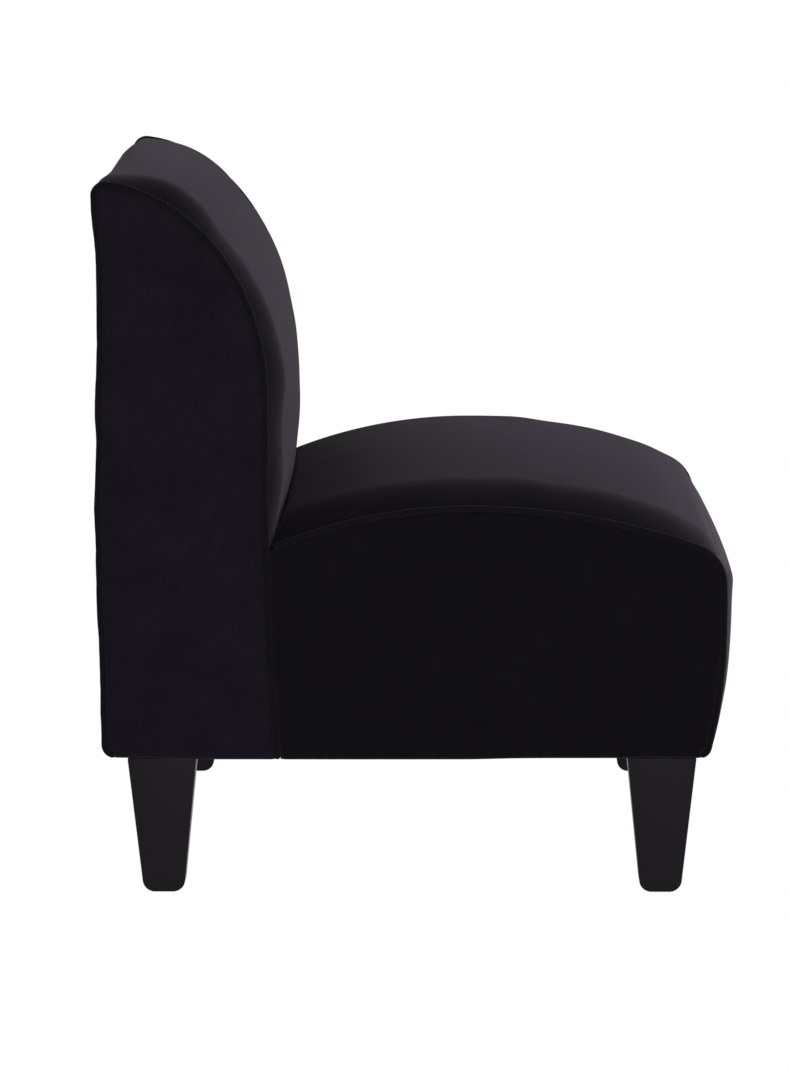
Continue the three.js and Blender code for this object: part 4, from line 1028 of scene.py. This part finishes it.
def seat_crown(points):
    """How far the stuffing stands out of the seat's outline at its points."""
    depth, height = points[:, 0], points[:, 1]
    turn_start = corner_forward + FRONT_CORNER * math.cos(corner_lean)
    forward = (depth - APEX_DEPTH) / (turn_start - APEX_DEPTH)
    angle = np.arctan2(height - corner_height, depth - corner_forward)
    down = (corner_height - height) / (corner_height - PIPING_FOOT)
    crown = from_table(SEAT_TOP_CROWN, forward)
    crown = np.where(forward > 1, from_table(SEAT_CORNER_CROWN, 1 - angle / corner_lean), crown)
    crown = np.where(down > 0, from_table(SEAT_FRONT_CROWN, down), crown)
    return SEAT_CROWN * crown


def cushion_front(height, across):
    """Depth of the crowned back cushion's front at a height, at one distance across."""
    return (back_front(height)
            + back_crown(0 * height, height) * across_crown(across, BACK_ROLL, BACK_LEAN))


def seat_section(across):
    """The crowned seat at one distance across, with where its crease and its front seam lie."""
    line = seat_line(WAIST_DEPTH)
    rise = seat_crown(line) * across_crown(across, SEAT_ROLL, SEAT_LEAN)
    line = on_line(line + line_normals(line) * rise[:, None], np.linspace(0, 1, SECTION_STEPS))
    depth, height = line[:, 0], line[:, 1]
    behind = (depth < cushion_front(height, across) + MODULE_GAP) & (depth < CREASE_LIMIT)
    crease = int(np.nonzero(behind)[0].max()) if behind.any() else 0
    seam = (corner_height + FRONT_CORNER * SEAM_TURN
            - SEAM_LOWER * across_crown(across, SEAT_ROLL, SEAT_LEAN))
    seam_at = int(np.nonzero((depth < APEX_DEPTH) | (height > seam))[0].max())
    return line, crease, seam_at


def from_columns(across, columns):
    """The surface of a line of points at each distance across."""
    lines = np.stack(columns, 1)
    return in_metres(across[None, :], lines[..., 0], lines[..., 1])


def seat_top(shares, across):
    """The seat top's surface. Shares up to CREASE_SHARE run up the hidden flap to the crease, and
    the rest over the seat to the seam."""
    spread = np.linspace(-2.2, 2.2, 21)
    weights = np.exp(-spread ** 2)
    columns = []
    for place in across:
        line, crease, seam_at = seat_section(place)
        heights = np.linspace(FLAP_FOOT, line[crease, 1], 40)
        flap = np.stack([cushion_front(heights, place) + MODULE_GAP, heights], -1)
        top = line[crease:seam_at + 1]
        flap_run, top_run = line_lengths(flap)[-1], line_lengths(top)[-1] - SEAM_GROOVE
        whole = np.concatenate([flap, top[1:]])
        at = np.where(shares < CREASE_SHARE, shares / CREASE_SHARE * flap_run,
                      flap_run + (shares - CREASE_SHARE) / (1 - CREASE_SHARE) * top_run)
        lengths = line_lengths(whole)
        near = CREASE_ROUND * np.exp(-((at - flap_run) / CREASE_SPREAD) ** 2)
        rounded = sum(w * along_line(np.clip(at + s * near, 0, lengths[-1]), lengths, whole)
                      for s, w in zip(spread, weights))
        columns.append(rounded / weights.sum())
    return from_columns(across, columns)


shares = stations((0, 0.1, 8), (0.108, 0.16, 12), (0.172, 0.965, 78), (0.972, 1, 10))
velvet_panel("seat_top", seat_top, shares, outward=(0, 0, 1), sheet=(64, 50), cap=0.003, seed=11,
             gathers=(70, 4), seam_at_end=True, seam_width=SEAT_SEAM_WIDTH, material=seat_velvet,
             cloth_start=12, foam="seat_foam")

# Seat front panel
# Velvet over wadding and foam down the front of the seat, from the plain seam to the foot, where it
# is turned under towards the rail.
HEM_TURN = 13.6


def seat_front(shares, across):
    """The seat front's surface, from the seam to the foot."""
    columns = []
    for place in across:
        line, _, seam_at = seat_section(place)
        columns.append(on_line(line[seam_at:], shares))
    return from_columns(across, columns)


def hemmed_wall(base, normals):
    """The front's inner face, seamed behind the seat's top and turned under at its last edge."""
    inner = seamed_wall(base, normals)
    inner[-1, :, 1] += HEM_TURN / 1000
    return inner


shares = stations((0, 0.03, 8), (0.045, 0.94, 36), (0.952, 1, 8))
velvet_panel("seat_front", seat_front, shares, outward=(0, -1, 0), sheet=(22, 50), cap=0.002,
             seed=13, gathers=(90, 6), seam_at_end=False, seam_width=SEAT_SEAM_WIDTH,
             material=seat_velvet, cloth_start=14, foam="seat_foam", wall=hemmed_wall)

# Seat side panels
# Flat velvet over thin wadding on the seat's plywood sides, sewn to the piping over the arch and down
# the front, and butted to the back module's piping at the rear. Both are alike, mirrored.
REAR_INSET = 0.9
PUCKER_WIDTH, PUCKER_HEAD, RIM, RIM_AT, RIM_WIDTH = 2.6, 6, 0.5, 5, 3.2
# Place, direction and length of the creases at the front corner
PUCKERS = (((640.0, 371.0), (-0.35, -0.94), 26), ((655.0, 360.0), (-0.7, -0.72), 22))

inside_seat = seat_line(float(back_front(APEX_HEIGHT)) + PANEL_INSET + MODULE_GAP, PANEL_INSET)
corner_middle = OVER_STEPS + FORE_STEPS - 1 + TURN_STEPS // 2 - 1
rear_heights = np.linspace(UPHOLSTERY_FOOT, inside_seat[0, 1], 60)
rear_edge = np.stack([back_front(rear_heights) + PANEL_INSET + REAR_INSET, rear_heights], -1)
rear_edge[-1] = inside_seat[0]
foot_corner = np.array([[inside_seat[-1, 0] + FOOT_INSET, UPHOLSTERY_FOOT]])
front_edge = np.concatenate([inside_seat[corner_middle:], foot_corner])[::-1]
upper_edge = inside_seat[:corner_middle + 1]
bottom_edge = np.stack([rear_edge[0], front_edge[0]])
sewn = np.concatenate([rear_edge, inside_seat[1:], foot_corner])


def corner_puckers(points):
    """Two short creases that run in from the front corner, where the panel is eased round it."""
    total = np.zeros(points.shape[:2])
    for spot, (forward, upward), length in PUCKERS:
        size = math.hypot(forward, upward)
        forward, upward = forward / size, upward / size
        dx, dz = points[..., 0] - spot[0], points[..., 1] - spot[1]
        run, side = dx * forward + dz * upward, dx * upward - dz * forward
        fade = np.exp(-(np.clip(run, 0, None) / length) ** 2)
        total += (RIM * np.exp(-((np.abs(side) - RIM_AT) / RIM_WIDTH) ** 2)
                  - np.exp(-(side / PUCKER_WIDTH) ** 2) * (run > -PUCKER_HEAD)) * fade
    return total


side_panel("seat_side", (bottom_edge, upper_edge, rear_edge, front_edge), sewn, corner_puckers, 17,
           velvet)

# Foam of the back and of the seat
# Two blocks of cream polyurethane foam, cut with a hot wire and glued to the webs, the frame and the
# springs' felt. Their cells are open and their corners soft, and the covers press them in a little.
FOAM_CREAM, FOAM_SHADE = "#e9dfc2", "#cdbf98"
FOAM_VOXEL, FOAM_GAP, COVER_NEAR = 0.006, 0.0003, 0.03
CELL = 0.0016

# Polyurethane foam: cream, matt, with open cells under 1 mm, drawn coarser so that they show
cut_foam, tree, surface, where = new_material(
    "polyurethane_foam", {"Roughness": 1, "Specular IOR Level": 0.1})
cells = add_node(tree, "TexVoronoi", {"Scale": 1 / CELL}, {"Vector": where})
yellowing = add_node(tree, "TexNoise", {"Scale": 9, "Detail": 3}, {"Vector": where})
blend = add_node(tree, "Math", {"operation": "MULTIPLY"},
                 {0: cells.outputs["Distance"], 1: yellowing})
add_node(tree, "ValToRGB", {"stops": ((0, FOAM_SHADE), (0.4, FOAM_CREAM))}, {"Fac": blend},
         surface["Base Color"])
add_node(tree, "Bump", {"Strength": 0.8, "Distance": 0.0008}, {"Height": cells.outputs["Distance"]},
         surface["Normal"])

for node_name, covers in linings.items():
    block = add_object(node_name + "_block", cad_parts[node_name].data.copy())
    cut_block = bmesh.new()
    cut_block.from_mesh(block.data)
    bmesh.ops.remove_doubles(cut_block, verts=cut_block.verts, dist=1e-5)
    cut_block.to_mesh(block.data)
    cut_block.free()
    skin = block.modifiers.new("even_skin", "REMESH")
    skin.mode = "VOXEL"
    skin.voxel_size = FOAM_VOXEL
    soften = block.modifiers.new("soft_corners", "SMOOTH")
    soften.factor, soften.iterations = 0.5, 2
    apply_modifiers(block)
    for vertex in block.data.vertices:
        for lining in covers:
            near, normal, _, _ = lining.find_nearest(vertex.co, COVER_NEAR)
            if near is not None and (vertex.co - near).dot(normal) > -FOAM_GAP:
                vertex.co = near - normal * FOAM_GAP
    block.data.materials.clear()
    block.data.materials.append(cut_foam)
    block.data.polygons.foreach_set("use_smooth", np.ones(len(block.data.polygons), bool))
    stand_for(block, "foam", node_name)

# Piping
# A cotton cord in a bias-cut strip of the same velvet, sewn into every side seam of the back and of
# the seat. Its ends are tucked under at the feet, and against the back at the seat's rear.
PIPING_RADIUS, PIPING_SIDES, PIPING_STEP = 3.5, 14, 4
PIPING_ACROSS = 297.5
BLUNT_END = np.array((0, 0.5, 1.2, 2.2))
END_TUCK, END_ROUND, FRONT_FOOT_DROP = 0.8, 0.9, 1.2
SWAY, SWAY_PITCH, SWAY_FADE = 0.28, 55, 30
THINNING, THINNING_PITCH = 0.03, 17
SHIFT, SHIFT_PITCH = 0.2, 70
PULL_PITCH = 0.005

# Bias-cut velvet over cord: the same black pile, stretched tighter, with slanting pulls 5 mm apart
bias_velvet, tree, surface, where = new_material(
    "bias_cut_velvet_over_cord",
    {"Roughness": 0.9, "Specular IOR Level": 0.08, "Sheen Weight": 0.35, "Sheen Roughness": 0.32,
     "Sheen Tint": linear(VELVET_SHEEN)}, on_cloth=True)
turned = add_node(tree, "Mapping", {"Rotation": (0, 0, 0.7)}, {"Vector": where})
pulls = add_node(tree, "TexWave",
                 {"bands_direction": "X", "Scale": band_scale(PULL_PITCH), "Distortion": 3,
                  "Detail": 2}, {"Vector": turned})
wear = add_node(tree, "TexNoise", {"Scale": 30, "Detail": 3}, {"Vector": where})
pile = add_node(tree, "TexNoise", {"Scale": 760, "Detail": 2}, {"Vector": where})
add_node(tree, "ValToRGB", {"stops": ((0.3, VELVET_BLACK), (0.7, VELVET_NAP))}, {"Fac": wear},
         surface["Base Color"])
drawn = add_node(tree, "Bump", {"Strength": 0.35, "Distance": 0.0005},
                 {"Height": pulls.outputs["Fac"]})
add_node(tree, "Bump", {"Strength": 0.3, "Distance": 0.0004}, {"Height": pile, "Normal": drawn},
         surface["Normal"])


def sewn_piping(name, line, seed):
    """A closed tube of velvet along a side outline, for the sitter's right, and its mirror image."""
    run = line_lengths(line)[-1]
    along = np.concatenate([BLUNT_END, np.linspace(0, run, int(run / PIPING_STEP) + 1)[1:-1],
                            run - BLUNT_END[::-1]])
    from_end = np.minimum(along, run - along)
    path = on_line(line, along / run)
    out = line_normals(path)
    sway = SWAY * uneven(along / SWAY_PITCH, seed)
    path = path + out * sway[:, None] * np.clip(from_end / SWAY_FADE, 0, 1)[:, None]
    thick = PIPING_RADIUS * (1 - THINNING + THINNING * uneven(along / THINNING_PITCH, seed + 1))
    pinch = np.clip(from_end / BLUNT_END[-1], 0, 1)
    thick = (thick * np.sqrt(1 - (1 - pinch) ** 2 * END_ROUND))[:, None]
    angles = np.linspace(0, 2 * np.pi, PIPING_SIDES + 1)[None, :]
    ring = out[:, None] * (np.cos(angles) * thick)[..., None]
    shift = SHIFT * uneven(along / SHIFT_PITCH, seed + 2)[:, None]
    points = in_metres(-(PIPING_ACROSS + shift + np.sin(angles) * thick),
                       path[:, :1] + ring[..., 0], path[:, 1:] + ring[..., 1])[:, :-1]
    last = len(along) - 1
    rounds = range(PIPING_SIDES)
    corners = [((r, c), (r, c + 1), (r + 1, c + 1), (r + 1, c)) for r in range(last) for c in rounds]
    faces = [tuple(r * PIPING_SIDES + c % PIPING_SIDES for r, c in face) for face in corners]
    ends = len(along) * PIPING_SIDES
    for c in rounds:
        d, row = (c + 1) % PIPING_SIDES, last * PIPING_SIDES
        faces += [(ends, d, c), (ends + 1, row + c, row + d)]
        corners += [((0, c), (0, c + 1), (0, c)), ((last, c), (last, c), (last, c + 1))]
    mesh = bpy.data.meshes.new(name + "_right_velvet")
    mesh.from_pydata(
        points.reshape(-1, 3).tolist() + points[[0, -1]].mean(axis=1).tolist(), [], faces)
    wrap = 2 * math.pi * PIPING_RADIUS / 1000 / PIPING_SIDES
    mesh.uv_layers.new(name="cloth").data.foreach_set(
        "uv", [value for face in corners for r, c in face for value in (along[r] / 1000, c * wrap)])
    mesh.polygons.foreach_set("use_smooth", np.ones(len(mesh.polygons), bool))
    mesh.materials.append(bias_velvet)
    shell = bmesh.new()
    shell.from_mesh(mesh)
    bmesh.ops.recalc_face_normals(shell, faces=shell.faces)
    shell.to_mesh(mesh)
    shell.free()
    piece = add_object(name + "_right_velvet", mesh)
    for tube, side in ((piece, "_right"), (mirrored(piece, name + "_left_velvet"), "_left")):
        smooth_velvet(tube)
        stand_for(tube, "velvet_piping", name + side)


front_foot = np.array([[float(back_front(UPHOLSTERY_FOOT)), UPHOLSTERY_FOOT - FRONT_FOOT_DROP]])
rear = rear_line()
sewn_piping("back_piping",
            np.concatenate([front_foot, back_arch_line(), rear, rear[-1:] + (END_TUCK, 0)]), 21)
seat_outline = seat_line(float(back_front(APEX_HEIGHT)) + 2 * PIPING_RADIUS + MODULE_GAP)
sewn_piping("seat_piping",
            np.concatenate([seat_outline, seat_outline[-1:] - (END_TUCK, 0)]), 27)

# Dust cover
# Black spun-bonded cloth stapled under both frames, its edge turned in, with a hole round each hanger
# bolt. It hangs a few millimetres between the rails.
DUST_THICKNESS, DUST_SAG, DUST_RIPPLE = 1.2, 3.0, 0.12
DUST_STEP, HOLE_HALF = 0.012, 0.005
SAG_WIDTH, SAG_LENGTH = 0.12, 0.14
DOT_PITCH = 0.002
DUST_BLACK, DUST_GREY = "#0f0f11", "#1c1c1f"

# Spun-bonded polypropylene: thin, matt black, embossed with small dots 2 mm apart
dust_cloth, tree, surface, where = new_material(
    "spun_bonded_dust_cloth", {"Roughness": 0.8}, on_cloth=True)
dots = add_node(tree, "TexVoronoi", {"Scale": 1 / DOT_PITCH, "Randomness": 0.1}, {"Vector": where})
threads = add_node(tree, "TexNoise", {"Scale": 220, "Detail": 5, "Distortion": 3},
                   {"Vector": where})
add_node(tree, "ValToRGB", {"stops": ((0.3, DUST_BLACK), (0.7, DUST_GREY))}, {"Fac": threads},
         surface["Base Color"])
add_node(tree, "Bump", {"Strength": 0.5, "Distance": 0.0003}, {"Height": dots.outputs["Distance"]},
         surface["Normal"])

dust_low, dust_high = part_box("dust_cover")
dust_reach = dust_high.x


def dust_lines(low, high, holes):
    """Grid lines from low to high, with one line on each side of every hole."""
    sides = [round(h + s * HOLE_HALF, 6) for h in set(holes) for s in (-1, 1)]
    fixed = sorted({low, high, *sides})
    lines = []
    for a, b in zip(fixed, fixed[1:]):
        count = max(1, round((b - a) / DUST_STEP))
        lines += [a + (b - a) * k / count for k in range(count)]
    return np.array(lines + [high])


hole_x, hole_y = zip(*LEG_PLACES.values())
xs = dust_lines(-dust_reach, dust_reach, hole_x)
ys = dust_lines(dust_low.y, dust_high.y, hole_y)
grid_x, grid_y = np.meshgrid(xs, ys)
share_x = np.clip((dust_reach - np.abs(grid_x)) / SAG_WIDTH, 0, 1)
share_y = np.clip(np.minimum(grid_y - dust_low.y, dust_high.y - grid_y) / SAG_LENGTH, 0, 1)
belly = (share_x * (2 - share_x)) * (share_y * (2 - share_y))
ripple = DUST_RIPPLE * uneven(grid_x * 9, 3) * uneven(grid_y * 7, 5)
lower = dust_low.z - (DUST_SAG * belly * (1 + ripple)) / 1000
sheet_mesh = bmesh.new()
under, over = [[[sheet_mesh.verts.new((grid_x[r, c], grid_y[r, c], lower[r, c] + lift))
                 for c in range(len(xs))] for r in range(len(ys))]
               for lift in (0, DUST_THICKNESS / 1000)]


def is_hole(r, c):
    """True for the grid cell round a hanger bolt."""
    x, y = (xs[c] + xs[c + 1]) / 2, (ys[r] + ys[r + 1]) / 2
    return any(math.dist((x, y), place) < HOLE_HALF / 2 for place in LEG_PLACES.values())


cells = {(r, c) for r in range(len(ys) - 1) for c in range(len(xs) - 1) if not is_hole(r, c)}
for r, c in sorted(cells):
    spots = ((r, c), (r + 1, c), (r + 1, c + 1), (r, c + 1))
    sheet_mesh.faces.new([under[i][j] for i, j in spots])
    sheet_mesh.faces.new([over[i][j] for i, j in spots[:1] + spots[:0:-1]])
    # A wall on each side of the cell that has no neighbour
    for neighbour, a, b in (((r - 1, c), spots[0], spots[3]), ((r + 1, c), spots[2], spots[1]),
                            ((r, c - 1), spots[1], spots[0]), ((r, c + 1), spots[3], spots[2])):
        if neighbour not in cells:
            sheet_mesh.faces.new([under[a[0]][a[1]], under[b[0]][b[1]],
                                  over[b[0]][b[1]], over[a[0]][a[1]]])
for loose in [v for v in sheet_mesh.verts if not v.link_faces]:
    sheet_mesh.verts.remove(loose)
bmesh.ops.recalc_face_normals(sheet_mesh, faces=sheet_mesh.faces)
cloth_layer = sheet_mesh.loops.layers.uv.new("cloth")
for face in sheet_mesh.faces:
    face.smooth = True
    for corner in face.loops:
        corner[cloth_layer].uv = corner.vert.co.xy
mesh = bpy.data.meshes.new("dust_cover_cloth")
sheet_mesh.to_mesh(mesh)
sheet_mesh.free()
mesh.materials.append(dust_cloth)
dust = add_object("dust_cover_cloth", mesh)

# Staples of the dust cover
# Flat-crowned steel staples, 12 mm wide and 42 to 45 mm apart round the edge of the dust cover,
# driven into the frames from below.
STAPLE_CROWN, STAPLE_WIRE, STAPLE_FLAT, STAPLE_EASE = 0.0115, 0.0011, 0.6, 0.0003
STAPLE_SUNK, STAPLE_INSET, STAPLE_TURN = 0.35, 0.009, 0.12
STAPLES_ACROSS = np.arange(-0.225, 0.2251, 0.04499)
STAPLES_ALONG = np.arange(-0.2, 0.2201, 0.0418)

bpy.ops.object.select_all(action="DESELECT")
bpy.ops.mesh.primitive_cube_add(size=1, location=(0, 0, 0))
staple = bpy.context.object
staple.scale = (STAPLE_CROWN, STAPLE_WIRE, STAPLE_WIRE * STAPLE_FLAT)
bpy.ops.object.transform_apply(location=True, rotation=True, scale=True)
bpy.ops.object.mode_set(mode="EDIT")
bpy.ops.mesh.select_all(action="SELECT")
bpy.ops.mesh.bevel(offset=STAPLE_EASE, segments=1, affect="EDGES")
bpy.ops.object.mode_set(mode="OBJECT")
crown = staple.data.copy()
bpy.data.objects.remove(staple)
spots = [(x, y, 0.0) for y in (dust_low.y + STAPLE_INSET, dust_high.y - STAPLE_INSET)
         for x in STAPLES_ACROSS]
spots += [(x, y, math.pi / 2) for x in (-dust_reach + STAPLE_INSET, dust_reach - STAPLE_INSET)
          for y in STAPLES_ALONG]
staples_mesh = bmesh.new()
for number, (x, y, turn) in enumerate(spots):
    crooked = turn + STAPLE_TURN * math.sin(number * 2.4)
    one = crown.copy()
    one.transform(Matrix.Translation((x, y, dust_low.z - STAPLE_WIRE * STAPLE_SUNK))
                  @ Matrix.Rotation(crooked, 4, "Z"))
    staples_mesh.from_mesh(one)
    bpy.data.meshes.remove(one)
mesh = bpy.data.meshes.new("dust_cover_staples")
staples_mesh.to_mesh(mesh)
staples_mesh.free()
mesh.materials.append(zinc_plate)
staples = add_object("dust_cover_staples", mesh)
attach(staples, "root")

stand_for(dust, "dust_cover_cloth", "dust_cover")
